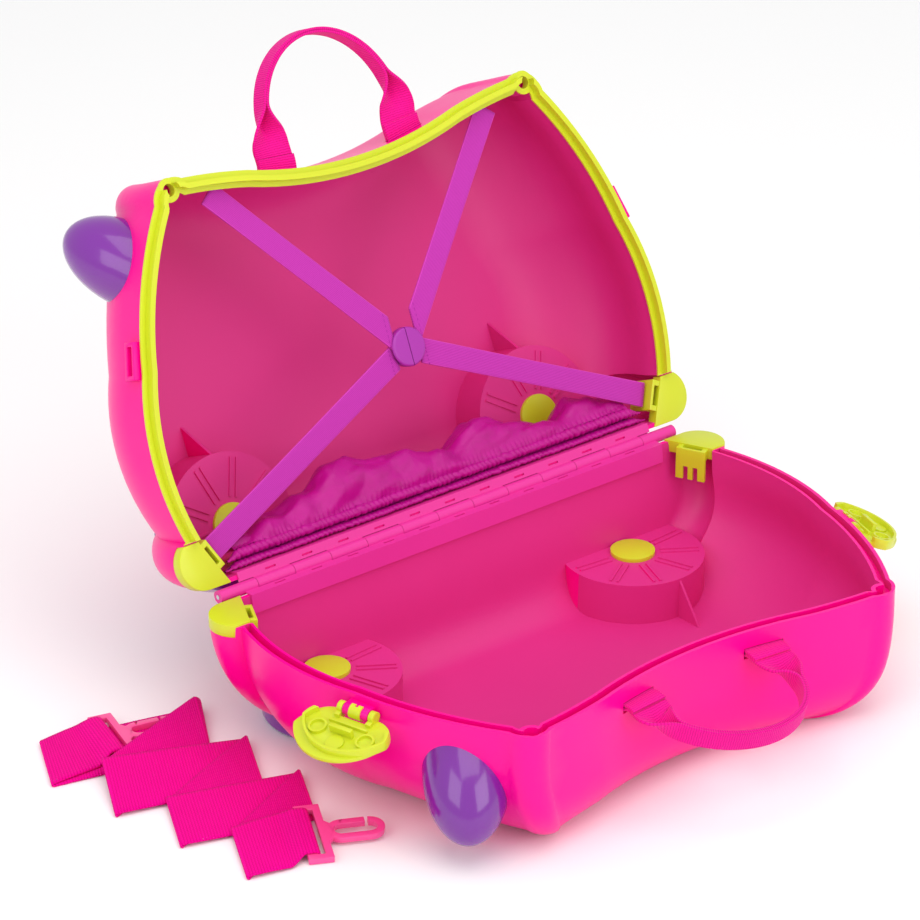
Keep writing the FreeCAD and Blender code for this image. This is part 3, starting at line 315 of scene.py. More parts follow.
class Sockets:
    """Short ways to place and join shader nodes in one tree."""

    def __init__(self, tree: bpy.types.NodeTree) -> None:
        """Keeps the tree."""
        self.tree = tree

    def node(self, kind: str, **values: object) -> bpy.types.Node:
        """Adds a node and sets its own properties.

        Args:
            kind: The node's type name.
            values: Property names and values.

        Returns:
            The node.
        """
        made = self.tree.nodes.new(kind)
        for key, value in values.items():
            setattr(made, key, value)
        return made

    def join(self, source: bpy.types.NodeSocket, target: bpy.types.NodeSocket) -> None:
        """Links two sockets."""
        self.tree.links.new(source, target)

    def feed(self, value: object, target: bpy.types.NodeSocket) -> None:
        """Gives an input its value.

        Args:
            value: A number, a colour, or a socket to link.
            target: The input.
        """
        if isinstance(value, (int, float)):
            target.default_value = value
        elif isinstance(value, tuple):
            target.default_value = (*value, 1.0)
        else:
            self.join(value, target)

    def math(self, operation: str, *terms: object, clamp: bool = False) -> bpy.types.NodeSocket:
        """A Math node on numbers or sockets.

        Args:
            operation: The node's operation.
            terms: Numbers or sockets, in order.
            clamp: True to keep the result from 0 to 1.

        Returns:
            The node's output.
        """
        made = self.node("ShaderNodeMath", operation=operation, use_clamp=clamp)
        for i, term in enumerate(terms):
            self.feed(term, made.inputs[i])
        return made.outputs[0]

    def weigh(self, one: bpy.types.NodeSocket, two: bpy.types.NodeSocket,
              shares: Pair) -> bpy.types.NodeSocket:
        """Adds two values, each times its share.

        Args:
            one: The first value.
            two: The second value.
            shares: Their shares.

        Returns:
            The sum's socket.
        """
        return self.math("ADD", self.math("MULTIPLY", one, shares[0]),
                         self.math("MULTIPLY", two, shares[1]))

    def ridges(self, places: bpy.types.NodeSocket) -> bpy.types.NodeSocket:
        """Round ridges, one for each whole place: the size of the sine of half turns."""
        return self.math("ABSOLUTE", self.math("SINE", self.math("MULTIPLY", places, math.pi)))

    def noise(self, place: bpy.types.NodeSocket, scale: object, detail: float = 2.0,
              distortion: float = 0.0) -> bpy.types.NodeSocket:
        """A Noise Texture node.

        Args:
            place: The coordinates' socket.
            scale: A number or socket for its scale.
            detail: Its detail.
            distortion: Its distortion.

        Returns:
            The noise's socket, from 0 to 1.
        """
        made = self.node("ShaderNodeTexNoise")
        for key, value in (("Vector", place), ("Scale", scale), ("Detail", detail),
                           ("Distortion", distortion)):
            self.feed(value, made.inputs[key])
        return made.outputs["Fac"]

    def mix(self, share: bpy.types.NodeSocket, one: Triple, two: Triple) -> bpy.types.NodeSocket:
        """Mixes two colours by a share.

        Args:
            share: The socket that gives the share.
            one: The colour at share 0.
            two: The colour at share 1.

        Returns:
            The mixed colour's socket.
        """
        made = self.node("ShaderNodeMix", data_type="RGBA")
        for key, value in (("Factor", share), (6, one), (7, two)):
            self.feed(value, made.inputs[key])
        return made.outputs[2]

    def spread(self, value: bpy.types.NodeSocket, low: float,
               high: float) -> bpy.types.NodeSocket:
        """Maps a value from 0..1 to low..high.

        Args:
            value: The socket to map.
            low: The result for 0.
            high: The result for 1.

        Returns:
            The mapped socket.
        """
        made = self.node("ShaderNodeMapRange")
        for key, given in (("Value", value), ("To Min", low), ("To Max", high)):
            self.feed(given, made.inputs[key])
        return made.outputs[0]


@dataclass
class Patterns:
    """Shader node groups that several finishes share, each built once."""

    tone_scale: float = 7.0
    scratch_stretch: Triple = (60.0, 900.0, 420.0)
    scratch_turn: Triple = (0.3, 0.5, 0.7)
    scratch_level: float = 0.69
    scratch_depth: float = 0.5
    grain_rough: Pair = (0.6, 0.25)
    yarn_round: Pair = (0.7, 0.4)
    yarn_and_rib: Pair = (0.35, 0.65)
    fuzz_scale: float = 2200.0
    dye_scale: float = 30.0
    # shares of the painted shade between the yarns and of random dye in the webbing's tone
    yarn_shade_and_dye: Pair = (0.75, 0.25)
    yarn_gloss: float = 0.5
    weft_height: float = 0.12
    stitch_rate: float = 2500.0
    stitch_gap: float = -0.2
    stitch_half: float = 0.0005
    cord_round: float = 0.6
    # how much the grooves between the cords are darkened, as painted shade
    cord_shade_tone: float = 0.7
    rim_tone: float = 0.5
    stitch_tone: float = 1.2
    cord_gloss: float = 0.4
    thread_height: float = 0.03
    crease_distortion: float = 0.8
    crease_rough: Pair = (0.8, 0.1)

    def __post_init__(self) -> None:
        """Builds the groups."""
        self.grain = self._grain()
        self.weave = self._weave()
        self.ribbing = self._ribbing()
        self.creases = self._creases()

    @staticmethod
    def _start(name: str, inputs: dict[str, float]) -> tuple[Sockets, dict, bpy.types.Node]:
        """Starts a group with number sockets.

        Args:
            name: The group's name.
            inputs: Input names and default values.

        Returns:
            The group's socket helper, its inputs by name and its coordinates.
        """
        tree = bpy.data.node_groups.new(name, "ShaderNodeTree")
        for key, value in inputs.items():
            socket = tree.interface.new_socket(key, in_out="INPUT", socket_type="NodeSocketFloat")
            socket.default_value = value
        kit = Sockets(tree)
        entry = kit.node("NodeGroupInput")
        return kit, {key: entry.outputs[key] for key in inputs}, kit.node("ShaderNodeTexCoord")

    @staticmethod
    def _close(kit: Sockets, height: bpy.types.NodeSocket, tone: bpy.types.NodeSocket,
               rough: bpy.types.NodeSocket) -> bpy.types.NodeTree:
        """Ends a group with its three outputs.

        Args:
            kit: The group's socket helper.
            height: The pattern's height.
            tone: The share of the light colour.
            rough: The share of the greater roughness.

        Returns:
            The group.
        """
        results = {"Height": height, "Tone": tone, "Rough": rough}
        for key in results:
            kit.tree.interface.new_socket(key, in_out="OUTPUT", socket_type="NodeSocketFloat")
        leave = kit.node("NodeGroupOutput")
        for key, value in results.items():
            kit.join(value, leave.inputs[key])
        return kit.tree

    def _grain(self) -> bpy.types.NodeTree:
        """Moulded plastic: spark-eroded grain, slow tone changes and fine handling scratches.

        Returns:
            The group.
        """
        kit, given, place = self._start("moulded_grain",
                                        {"Grain Scale": 1400.0, "Scratch Share": 0.3})
        fine = kit.noise(place.outputs["Object"], given["Grain Scale"], detail=3.0)
        slow = kit.noise(place.outputs["Object"], self.tone_scale, detail=4.0)
        stretch = kit.node("ShaderNodeMapping")
        stretch.inputs["Scale"].default_value = self.scratch_stretch
        stretch.inputs["Rotation"].default_value = self.scratch_turn
        kit.join(place.outputs["Object"], stretch.inputs["Vector"])
        lines = kit.noise(stretch.outputs["Vector"], 1.0)
        scratch = kit.math("MULTIPLY", kit.math("GREATER_THAN", lines, self.scratch_level),
                           given["Scratch Share"])
        height = kit.math("SUBTRACT", fine, kit.math("MULTIPLY", scratch, self.scratch_depth))
        rough = kit.math("ADD", kit.math("MULTIPLY", slow, self.grain_rough[0]), scratch)
        rough = kit.math("ADD", rough, kit.math("MULTIPLY", fine, self.grain_rough[1]), clamp=True)
        return self._close(kit, height, slow, rough)

    def _weave(self) -> bpy.types.NodeTree:
        """Woven webbing on the band's own UV: ribs across it, of yarns that swap by column.

        The raised yarns take the light tone and the hollows between them the dark one, as
        painted shade, with random dye mixed in.

        Returns:
            The group.
        """
        kit, given, place = self._start("webbing_weave",
                                        {"Row": 0.0016, "Column": 0.0022, "Fuzz": 0.25})
        split = kit.node("ShaderNodeSeparateXYZ")
        kit.join(place.outputs["UV"], split.inputs[0])
        column = kit.math("DIVIDE", split.outputs["X"], given["Column"])
        row = kit.math("DIVIDE", split.outputs["Y"], given["Row"])
        swap = kit.math("MULTIPLY", kit.math("MODULO", kit.math("FLOOR", column), 2.0), math.pi)
        turn = kit.math("ADD", kit.math("MULTIPLY", row, 2.0 * math.pi), swap)
        over = kit.math("ADD", kit.math("MULTIPLY", kit.math("SINE", turn), 0.5), 0.5)
        yarn = kit.math("MULTIPLY", kit.math("POWER", over, self.yarn_round[0]),
                        kit.math("POWER", kit.ridges(column), self.yarn_round[1]))
        yarn = kit.weigh(yarn, kit.ridges(row), self.yarn_and_rib)
        fuzz = kit.noise(place.outputs["Object"], self.fuzz_scale)
        dye = kit.noise(place.outputs["Object"], self.dye_scale)
        height = kit.math("ADD", yarn, kit.math("MULTIPLY", fuzz, given["Fuzz"]))
        rough = kit.math("SUBTRACT", 1.0, kit.math("MULTIPLY", yarn, self.yarn_gloss))
        # painted shade: the tone follows the yarns' height, so the hollows between them are darker
        return self._close(kit, height, kit.weigh(yarn, dye, self.yarn_shade_and_dye), rough)

    def _ribbing(self) -> bpy.types.NodeTree:
        """Woven elastic on the strip's own UV: cords along it, fine weft and a sewn end.

        The cords take the light tone and the grooves between them the dark one, as painted
        shade.

        Returns:
            The group.
        """
        kit, given, place = self._start("elastic_ribbing", {
            "Cord": 0.0011, "Weft": 0.0007, "Selvedge": 0.0079, "Stitch": 0.0062})
        split = kit.node("ShaderNodeSeparateXYZ")
        kit.join(place.outputs["UV"], split.inputs[0])
        across, along = split.outputs["X"], split.outputs["Y"]
        cord = kit.ridges(kit.math("DIVIDE", across, given["Cord"]))
        wefts = kit.math("DIVIDE", along, given["Weft"])
        weft = kit.math("SINE", kit.math("MULTIPLY", wefts, 2 * math.pi))
        height = kit.math("ADD", cord, kit.math("MULTIPLY", weft, self.weft_height))
        away = kit.math("ABSOLUTE", kit.math("SUBTRACT", along, given["Stitch"]))
        dash = kit.math("SINE", kit.math("MULTIPLY", across, self.stitch_rate))
        dash = kit.math("GREATER_THAN", dash, self.stitch_gap)
        sewn = kit.math("MULTIPLY", kit.math("LESS_THAN", away, self.stitch_half), dash)
        rim = kit.math("GREATER_THAN", kit.math("ABSOLUTE", across), given["Selvedge"])
        height = kit.math("SUBTRACT", kit.math("ADD", height, rim), sewn)
        # painted shade: the cords take the light tone and the grooves between them the dark one
        tone = kit.math("MULTIPLY", kit.math("POWER", cord, self.cord_round), self.cord_shade_tone)
        tone = kit.math("ADD", tone, kit.math("MULTIPLY", rim, self.rim_tone))
        tone = kit.math("SUBTRACT", tone, kit.math("MULTIPLY", sewn, self.stitch_tone), clamp=True)
        rough = kit.math("SUBTRACT", 1.0, kit.math("MULTIPLY", cord, self.cord_gloss))
        return self._close(kit, height, tone, rough)

    def _creases(self) -> bpy.types.NodeTree:
        """Thin satin cloth: fine thread, small soft creases and slow changes of sheen.

        The crease heights also set the tone: painted shade darkens their hollows.

        Returns:
            The group.
        """
        kit, given, place = self._start("satin_creases", {"Crease Scale": 70.0, "Thread": 0.0006})
        crease = kit.noise(place.outputs["Object"], given["Crease Scale"], detail=3.0,
                           distortion=self.crease_distortion)
        split = kit.node("ShaderNodeSeparateXYZ")
        kit.join(place.outputs["UV"], split.inputs[0])
        thread = kit.math("ADD", split.outputs["X"], split.outputs["Y"])
        thread = kit.math("DIVIDE", kit.math("MULTIPLY", thread, 2 * math.pi), given["Thread"])
        thread = kit.math("MULTIPLY", kit.math("SINE", thread), self.thread_height)
        rough = kit.math("MULTIPLY", crease, self.crease_rough[0])
        rough = kit.math("ADD", rough, self.crease_rough[1])
        # painted shade: the crease heights also set the tone, darker in their hollows
        return self._close(kit, kit.math("ADD", crease, thread), crease, rough)


class Pattern(Enum):
    """Which shared group a finish uses."""

    GRAIN = "grain"
    WEAVE = "weave"
    RIBBING = "ribbing"
    CREASES = "creases"


@dataclass(frozen=True)
class Finish:
    """One finish: two tones, a range of roughness and the bump of its pattern."""

    name: str
    slot: str
    pattern: Pattern
    dark: Triple
    light: Triple
    rough: Pair
    bump: float
    bump_distance: float = 0.0004
    specular: float = 0.5
    coat: float = 0.0
    coat_rough: float = 0.05
    sheen: float = 0.0
    sheen_rough: float = 0.4
    metallic: float = 0.0
    subsurface: float = 0.0
    subsurface_radius: Triple = (0.004, 0.001, 0.002)
    values: tuple[tuple[str, float], ...] = ()

    def material(self, patterns: Patterns) -> bpy.types.Material:
        """Builds the material.

        Args:
            patterns: The shared node groups.

        Returns:
            The material.
        """
        made = bpy.data.materials.new(self.name)
        made.use_nodes = True
        made.node_tree.nodes.clear()
        kit = Sockets(made.node_tree)
        group = kit.node("ShaderNodeGroup", node_tree=getattr(patterns, self.pattern.value))
        for key, value in self.values:
            group.inputs[key].default_value = value
        shader = kit.node("ShaderNodeBsdfPrincipled")
        colour = kit.mix(group.outputs["Tone"], self.dark, self.light)
        kit.join(colour, shader.inputs["Base Color"])
        kit.join(kit.spread(group.outputs["Rough"], *self.rough), shader.inputs["Roughness"])
        bump = kit.node("ShaderNodeBump")
        bump.inputs["Strength"].default_value = self.bump
        bump.inputs["Distance"].default_value = self.bump_distance
        kit.join(group.outputs["Height"], bump.inputs["Height"])
        kit.join(bump.outputs["Normal"], shader.inputs["Normal"])
        plain = {"Metallic": self.metallic, "Specular IOR Level": self.specular,
                 "Coat Weight": self.coat, "Coat Roughness": self.coat_rough,
                 "Sheen Weight": self.sheen, "Sheen Roughness": self.sheen_rough,
                 "Subsurface Weight": self.subsurface,
                 "Subsurface Radius": self.subsurface_radius}
        for key, value in plain.items():
            shader.inputs[key].default_value = value
        kit.join(shader.outputs["BSDF"], kit.node("ShaderNodeOutputMaterial").inputs["Surface"])
        return made


PINK_GLOSS = Finish(
    "glossy_pink_moulding", "pink_shell", Pattern.GRAIN, (0.90, 0.0, 0.262), (0.98, 0.0, 0.305),
    (0.26, 0.36), 0.05, specular=0.22, values=(("Grain Scale", 700.0),))
PINK_SATIN = Finish(
    "satin_pink_inside", "pink_shell", Pattern.GRAIN, (0.68, 0.022, 0.228), (0.74, 0.030, 0.268),
    (0.42, 0.55), 0.10, specular=0.4, values=(("Grain Scale", 1100.0), ("Scratch Share", 0.4)))
PINK_HINGE = Finish(
    "satin_pink_hinge", "pink_hinge", Pattern.GRAIN, (0.72, 0.028, 0.300), (0.80, 0.034, 0.340),
    (0.34, 0.46), 0.08, specular=0.4)
LIME = Finish(
    "satin_lime_moulding", "lime_plastic", Pattern.GRAIN, (0.57, 0.64, 0.010),
    (0.68, 0.74, 0.022), (0.30, 0.42), 0.08, coat=0.1, coat_rough=0.2, subsurface=0.08)
PURPLE = Finish(
    "glossy_purple_moulding", "purple_plastic", Pattern.GRAIN, (0.150, 0.010, 0.260),
    (0.205, 0.014, 0.345), (0.14, 0.24), 0.03, coat=0.5, coat_rough=0.06,
    values=(("Grain Scale", 500.0),))
STEEL = Finish(
    "turned_steel", "steel", Pattern.GRAIN, (0.50, 0.50, 0.52), (0.66, 0.66, 0.68),
    (0.22, 0.40), 0.06, metallic=1.0)
# The webbings' dark tone is painted shade between the yarns, mixed with random dye.
WEBBING = Finish(
    "pink_webbing", "pink_webbing", Pattern.WEAVE, (0.58, 0.0, 0.18), (1.0, 0.004, 0.34),
    (0.6, 0.9), 0.8, 0.0006, sheen=0.08, specular=0.2)
TOW_WEBBING = Finish(
    "ribbed_pink_webbing", "pink_webbing", Pattern.WEAVE, (0.66, 0.0, 0.19), (1.0, 0.0, 0.34),
    (0.6, 0.9), 0.8, 0.0008, sheen=0.02, specular=0.08,
    values=(("Row", 0.0021), ("Column", 0.0016)))
# The elastic's dark tone is painted shade in the grooves between its cords.
ELASTIC = Finish(
    "violet_elastic", "violet_elastic", Pattern.RIBBING, (0.38, 0.012, 0.31), (0.62, 0.046, 0.47),
    (0.5, 0.8), 0.5, 0.0003, sheen=0.06, specular=0.25)
# The satin's dark tone is painted shade in the hollows of its creases.
SATIN = Finish(
    "magenta_satin", "magenta_cloth", Pattern.CREASES, (0.38, 0.0, 0.18), (0.56, 0.001, 0.29),
    (0.26, 0.44), 0.4, 0.002, sheen=0.02, specular=0.3)
SHIRRED = Finish(
    "shirred_magenta_satin", "magenta_cloth", Pattern.CREASES, (0.38, 0.0, 0.18),
    (0.55, 0.001, 0.29), (0.33, 0.52), 0.3, 0.001, sheen=0.02, specular=0.3,
    values=(("Crease Scale", 160.0),))
VIOLET = Finish(
    "satin_violet_moulding", "violet_plastic", Pattern.GRAIN, (0.34, 0.022, 0.34),
    (0.43, 0.030, 0.42), (0.30, 0.42), 0.08, specular=0.4)
HOOK_PINK = Finish(
    "light_pink_moulding", "hook_plastic", Pattern.GRAIN, (0.88, 0.060, 0.29), (0.96, 0.085, 0.35),
    (0.25, 0.38), 0.06, coat=0.15, coat_rough=0.12)


class Palette:
    """Makes each finish's material once."""

    def __init__(self) -> None:
        """Builds the shared groups."""
        self.patterns = Patterns()
        self.made: dict[str, bpy.types.Material] = {}

    def paint(self, piece: bpy.types.Object, *finishes: Finish) -> None:
        """Puts finishes on a piece in place of its materials, each built on first use.

        Args:
            piece: The piece.
            finishes: Its finishes, in the order of its material indices.
        """
        piece.data.materials.clear()
        for finish in finishes:
            if finish.name not in self.made:
                self.made[finish.name] = finish.material(self.patterns)
            piece.data.materials.append(self.made[finish.name])

    def dress(self, piece: bpy.types.Object, finish: Finish) -> bpy.types.Object:
        """Gives a new piece its finish and material slot."""
        self.paint(piece, finish)
        return piece


@dataclass
class MouldedParts:
    """The rigid pieces that keep their solids' shape: finishes, round edges, smooth shading."""

    frame: dict
    palette: Palette
    sharp_deg: float = 32.0
    weld: float = 2e-6
    edge_segments: int = 2
    finishes: dict[str, Finish] = field(default_factory=lambda: {
        "hinge_leaf": PINK_HINGE, "lid_seal": LIME, "corner_block": LIME, "axle_caps": LIME,
        "catch_lever": LIME, "catch_bracket": PINK_GLOSS, "catch_strike": PINK_GLOSS,
        "horn": PURPLE, "wheel": PURPLE, "hinge_pin": STEEL, "axles": STEEL,
        "axle_washers": STEEL, "handle_pins": PINK_GLOSS, "catch_pin": LIME, "catch_lock": LIME,
        "catch_clip": LIME, "buckle_half": VIOLET, "tow_hook": HOOK_PINK})
    edges: dict[str, float] = field(default_factory=lambda: {
        "corner_block": 0.0004, "catch_lever": 0.0004, "catch_bracket": 0.0006,
        "catch_strike": 0.0006, "tow_hook": 0.0013, "axle_caps": 0.0006})

    def build(self) -> None:
        """Dresses every rigid node but the two shells, by the end of its name."""
        for name, node in self.frame["nodes"].items():
            finish = next((self.finishes[key] for key in self.finishes if name.endswith(key)), None)
            if finish is None:
                continue
            self.palette.paint(node, finish)
            edge = next((self.edges[key] for key in self.edges if name.endswith(key)), 0.0)
            self.smooth(node, edge)
            LOG.info("dressed %s in %s", name, finish.name)

    def smooth(self, node: bpy.types.Object, edge: float) -> None:
        """Joins a node's loose triangles, rounds its edges and shades it smooth up to an angle.

        Args:
            node: The CAD node's object.
            edge: Radius of the rounded edges, or zero for none.
        """
        weld = node.modifiers.new("weld", "WELD")
        weld.merge_threshold = self.weld
        if edge:
            bevel = node.modifiers.new("edge", "BEVEL")
            bevel.width = edge
            bevel.segments = self.edge_segments
            bevel.limit_method = "ANGLE"
            bevel.angle_limit = math.radians(self.sharp_deg)
        split = node.modifiers.new("split", "EDGE_SPLIT")
        split.split_angle = math.radians(self.sharp_deg)
        shade(node.data, True)


@dataclass
class Shells:
    """The two moulded halves: glossy outside, satin inside."""

    frame: dict
    parts: MouldedParts
    palette: Palette
    middle_half: float = 0.120
    middle_height: float = 0.140
    middle_depth: float = 0.048
    end_start: float = 0.204
    end_heights: Pair = (0.060, 0.200)

    def build(self) -> None:
        """Dresses both halves."""
        for name, half in (("base_shell", BASE), ("lid_shell", LID)):
            node = self.frame["nodes"][name]
            self.palette.paint(node, PINK_GLOSS, PINK_SATIN)
            inside = self.inside(node, half).astype(np.int32)
            node.data.polygons.foreach_set("material_index", inside)
            self.parts.smooth(node, 0.0)
            LOG.info("dressed %s", name)

    def inside(self, node: bpy.types.Object, half: HalfFrame) -> np.ndarray:
        """Tells the faces that look into the half: their normals point to a line in its middle.

        Faces of the end walls look to their own height on that line, because the walls are
        pinched.

        Args:
            node: The shell's object.
            half: The half that it belongs to.

        Returns:
            True for each face inside.
        """
        count = len(node.data.polygons)
        centre, normal = np.empty(count * 3, np.float32), np.empty(count * 3, np.float32)
        node.data.polygons.foreach_get("center", centre)
        node.data.polygons.foreach_get("normal", normal)
        centre, normal = (values.reshape(-1, 3).astype(float) for values in (centre, normal))
        place = half.local(centre)
        looks = half.local(centre + normal) - place
        height = np.where(np.abs(place[:, 0]) > self.end_start,
                          np.clip(place[:, 1], *self.end_heights), self.middle_height)
        middle = np.stack((np.clip(place[:, 0], -self.middle_half, self.middle_half), height,
                           np.full(count, self.middle_depth)), axis=1)
        return ((place - middle) * looks).sum(1) < 0.0


@dataclass
class HingeStrip:
    """A thin strip under the web of the lid's hinge leaf.

    It keeps light out of the clearance by the barrel.
    """

    palette: Palette
    half_length: float = 0.1835
    heights: Pair = (0.00415, 0.0066)
    depths: Pair = (0.00195, 0.0023)

    def build(self) -> bpy.types.Object:
        """Makes the strip: a flat bar along the hinge.

        Returns:
            The strip.
        """
        x = np.linspace(-self.half_length, self.half_length, 3)[:, None]
        h = np.array(self.heights)[[0, 1, 1, 0, 0]][None, :]
        d = np.array(self.depths)[[0, 0, 1, 1, 0]][None, :]
        uv = np.stack(np.broadcast_arrays(x, h + d), axis=-1)
        made = grid_object("lid_hinge_strip", LID.world(x, h, d), uv, wrap=True)
        shade(made.data, False)
        self.palette.dress(made, PINK_HINGE)
        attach(made, "lid")
        LOG.info("made the hinge strip")
        return made


@dataclass
class WebbingHandle:
    """A webbing handle: hemmed round a pin at each foot, and shut like a book for the hand."""

    name: str
    half: HalfFrame
    reach: float
    leg: float
    droop_deg: float
    sway: float
    fold_start: float
    fold_length: float
    foot: float = 0.0555
    saddle: float = 0.2613
    slope_deg: float = 9.7
    depth: float = 0.018
    width: float = 0.030
    thickness: float = 0.0019
    fold_deg: float = 91.0
    bend: float = 0.0021
    pin_setback: float = 0.0032
    hem_radius: float = 0.0027
    hem_flap: float = 0.0105
    hem_layer: float = 1.04
    level: float = 0.020
    hem_count: int = 40
    arch_count: int = 90
    leg_count: int = 20
    count: int = 150
    across_count: int = 23

    def hem(self) -> np.ndarray:
        """The hem in the plane square to its pin.

        It is a flap on the open side, a loop under the pin, and the leg's foot.

        Returns:
            Rows of (rise, depth), from the flap's end to the leg.
        """
        turn = np.radians((180.0, 225.0, 270.0, 315.0, 360.0))
        loop = np.stack((self.hem_radius * np.sin(turn) - self.pin_setback,
                         self.hem_radius * np.cos(turn)), axis=1)
        layer = self.thickness * self.hem_layer
        flap = np.array(((self.hem_flap, -layer), (self.hem_flap / 2, -layer),
                         (self.hem_radius / 2, -layer)))
        foot = np.array(((self.hem_radius / 2, self.thickness / 4), (2 * self.hem_radius, 0.0)))
        return spline_through(np.vstack((flap, loop, foot)), self.hem_count)

    def path(self) -> tuple[np.ndarray, np.ndarray, np.ndarray, np.ndarray]:
        """The middle line: hem, straight leg, half an ellipse, leg and hem.

        Returns:
            Points as (x, rise, depth), the angle of the line in the plane of the arch, the
            length along the webbing, and how far the book is shut at each point, from 0 at the
            feet to 1 in the hand.
        """
        hem = self.hem()
        low = hem[-1, 0]
        turn = np.linspace(math.pi, 0.0, self.arch_count)
        arch = np.stack((self.foot * np.cos(turn) + self.sway * np.sin(turn),
                         self.leg + (self.reach - self.leg) * np.sin(turn)), axis=1)
        rise = np.linspace(low, self.leg, self.leg_count, endpoint=False)[1:]
        leg = np.stack((np.full(len(rise), -self.foot), rise), axis=1)
        line = np.vstack((leg, arch, (leg * (-1.0, 1.0))[::-1]))
        along = run_length(line)
        even = np.linspace(0.0, along[-1], self.count)
        line = np.stack([np.interp(even, along, line[:, i]) for i in range(2)], axis=1)
        step = np.gradient(line, axis=0)
        angle = np.arctan2(step[:, 1], step[:, 0])
        foot_away = np.minimum(even, even[-1] - even) + low
        shut = smooth_step((foot_away - self.fold_start) / self.fold_length)
        upright = np.full(self.hem_count, math.pi / 2)
        left = np.stack((np.full(self.hem_count, -self.foot), hem[:, 0], hem[:, 1]), axis=1)
        middle = np.column_stack((line, np.zeros(self.count)))
        points = np.vstack((left, middle, (left * (-1.0, 1.0, 1.0))[::-1]))
        angle = np.concatenate((upright, angle, -upright))
        shut = np.concatenate((np.zeros(self.hem_count), shut, np.zeros(self.hem_count)))
        lean = math.radians(self.slope_deg) * (1.0 - smooth_step(points[:, 1] / self.level))
        points[:, 0] += np.where(points[:, 0] < 0.0, 1.0, -1.0) * points[:, 1] * np.sin(lean)
        return points, angle + np.sign(points[:, 0]) * lean, run_length(points), shut

    def section(self, shut: np.ndarray) -> tuple[np.ndarray, np.ndarray]:
        """Sections of the webbing: each half turns up by the fold's angle over a short bend.

        Args:
            shut: How far the book is shut at each place along the handle.

        Returns:
            Places across and towards the open side, a row for each place along the handle.
        """
        half = np.linspace(0.0, self.width / 2, self.across_count)
        turn = math.radians(self.fold_deg) * shut[:, None] * smooth_step(half / self.bend)[None, :]
        step = half[1] / 2
        start = np.zeros((len(shut), 1))
        across, up = (np.concatenate((start, np.cumsum(part[:, 1:] + part[:, :-1], axis=1) * step),
                                     axis=1) for part in (np.cos(turn), np.sin(turn)))
        up = up - up[:, -1:] / 2
        return (np.concatenate((-across[:, :0:-1], across), axis=1),
                np.concatenate((up[:, :0:-1], up), axis=1))

    def build(self, palette: Palette) -> bpy.types.Object:
        """Makes the webbing: sections square to the middle line, and the arch turned down.

        Args:
            palette: The finishes.

        Returns:
            The handle.
        """
        line, angle, length, shut = self.path()
        across, up = self.section(shut)
        x = line[:, :1] + np.sin(angle)[:, None] * across
        rise = line[:, 1:2] - np.cos(angle)[:, None] * across
        depth = line[:, 2:] - up
        lean = math.radians(self.droop_deg) * smooth_step(line[:, 1:2] / self.leg)
        h = self.saddle + rise * np.cos(lean) - depth * np.sin(lean)
        d = self.depth + rise * np.sin(lean) + depth * np.cos(lean)
        wide = np.linspace(-self.width / 2, self.width / 2, across.shape[1])
        uv = np.stack(np.broadcast_arrays(wide[None, :], length[:, None]), axis=-1)
        points = self.half.world(x, h, d)
        made = grid_object(self.name, points, uv)
        thicken(made, "thickness", self.thickness)
        palette.dress(made, WEBBING)
        half = self.half.half.value
        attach(made, half)
        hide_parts(f"{half}_handle")
        return made


@dataclass
class ElasticStraps:
    """Four elastic strips in the lid, from the seal and the corner brackets to the buckle."""

    palette: Palette
    width: float = 0.018
    thickness: float = 0.0018
    depth: float = 0.0069
    layer: float = 0.0021
    anchor: Pair = (0.122, 0.262)
    bracket: Pair = (0.1935, 0.0305)
    buckle: Pair = (0.004, 0.119)
    buckle_bite: float = 0.0098
    waist: float = 0.05
    count: int = 60

    def strip(self, name: str, start: Pair, layer: int) -> bpy.types.Object:
        """One strip, drawn straight from the buckle, a little narrower where it is stretched.

        Its first end lies along the buckle's slot: each thread is moved along the strip by its
        place across it times the slant, and less so towards the other end.

        Args:
            name: The piece's name.
            start: Where it starts, as (x, h).
            layer: 0 for the front strips and 1 for those behind.

        Returns:
            The strip.
        """
        side = math.copysign(1.0, start[0])
        buckle = np.array(self.buckle)
        run = buckle - np.array(start)
        end = buckle - run / abs(run[0]) * self.buckle_bite
        share = np.linspace(0.0, 1.0, self.count)
        x = end[0] + (start[0] - end[0]) * share
        h = end[1] + (start[1] - end[1]) * share
        d = np.full(self.count, self.depth + layer * self.layer)
        path = LID.world(x, h, d)
        along = (path[-1] - path[0]) / np.linalg.norm(path[-1] - path[0])
        across = LID.world(x[:1] - run[1] * side, h[:1] + run[0] * side, d[:1])[0] - path[0]
        across = across / np.linalg.norm(across)
        narrow = self.width * (1.0 - self.waist * np.sin(share * math.pi))
        wide, thick = band_section(narrow / 2, np.full(self.count, self.thickness / 2))
        slide = -wide * across[0] / along[0] * (1.0 - share[:, None])
        points = (path[:, None, :] + wide[..., None] * across + slide[..., None] * along
                  + thick[..., None] * np.cross(along, across))
        uv = np.stack(np.broadcast_arrays(wide, run_length(path)[:, None]), axis=-1)
        made = grid_object(name, points, uv, wrap=True)
        self.palette.dress(made, ELASTIC)
        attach(made, "lid")
        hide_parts(name.replace("elastic_", "") + "_strap")
        return made

    def build(self) -> None:
        """Makes the four strips."""
        for word, side in (("left", -1.0), ("right", 1.0)):
            self.strip(f"elastic_{word}_upper", (side * self.anchor[0], self.anchor[1]), 0)
            self.strip(f"elastic_{word}_lower", (side * self.bracket[0], self.bracket[1]), 1)
        LOG.info("made the elastic straps")


@dataclass(frozen=True)
class Creases:
    """One size of creases: a slanted grid of random heights with flat triangles between them."""

    height: float
    lean: float
    length: float
    tilt: float
    rise: float
    draw: Draw

    def over(self, x: np.ndarray, up: np.ndarray) -> np.ndarray:
        """Heights at places along the pocket and up its cloth."""
        return self.height * crumple((x + self.lean * up) / self.length,
                                     (up + self.tilt * x) / self.rise, self.draw)


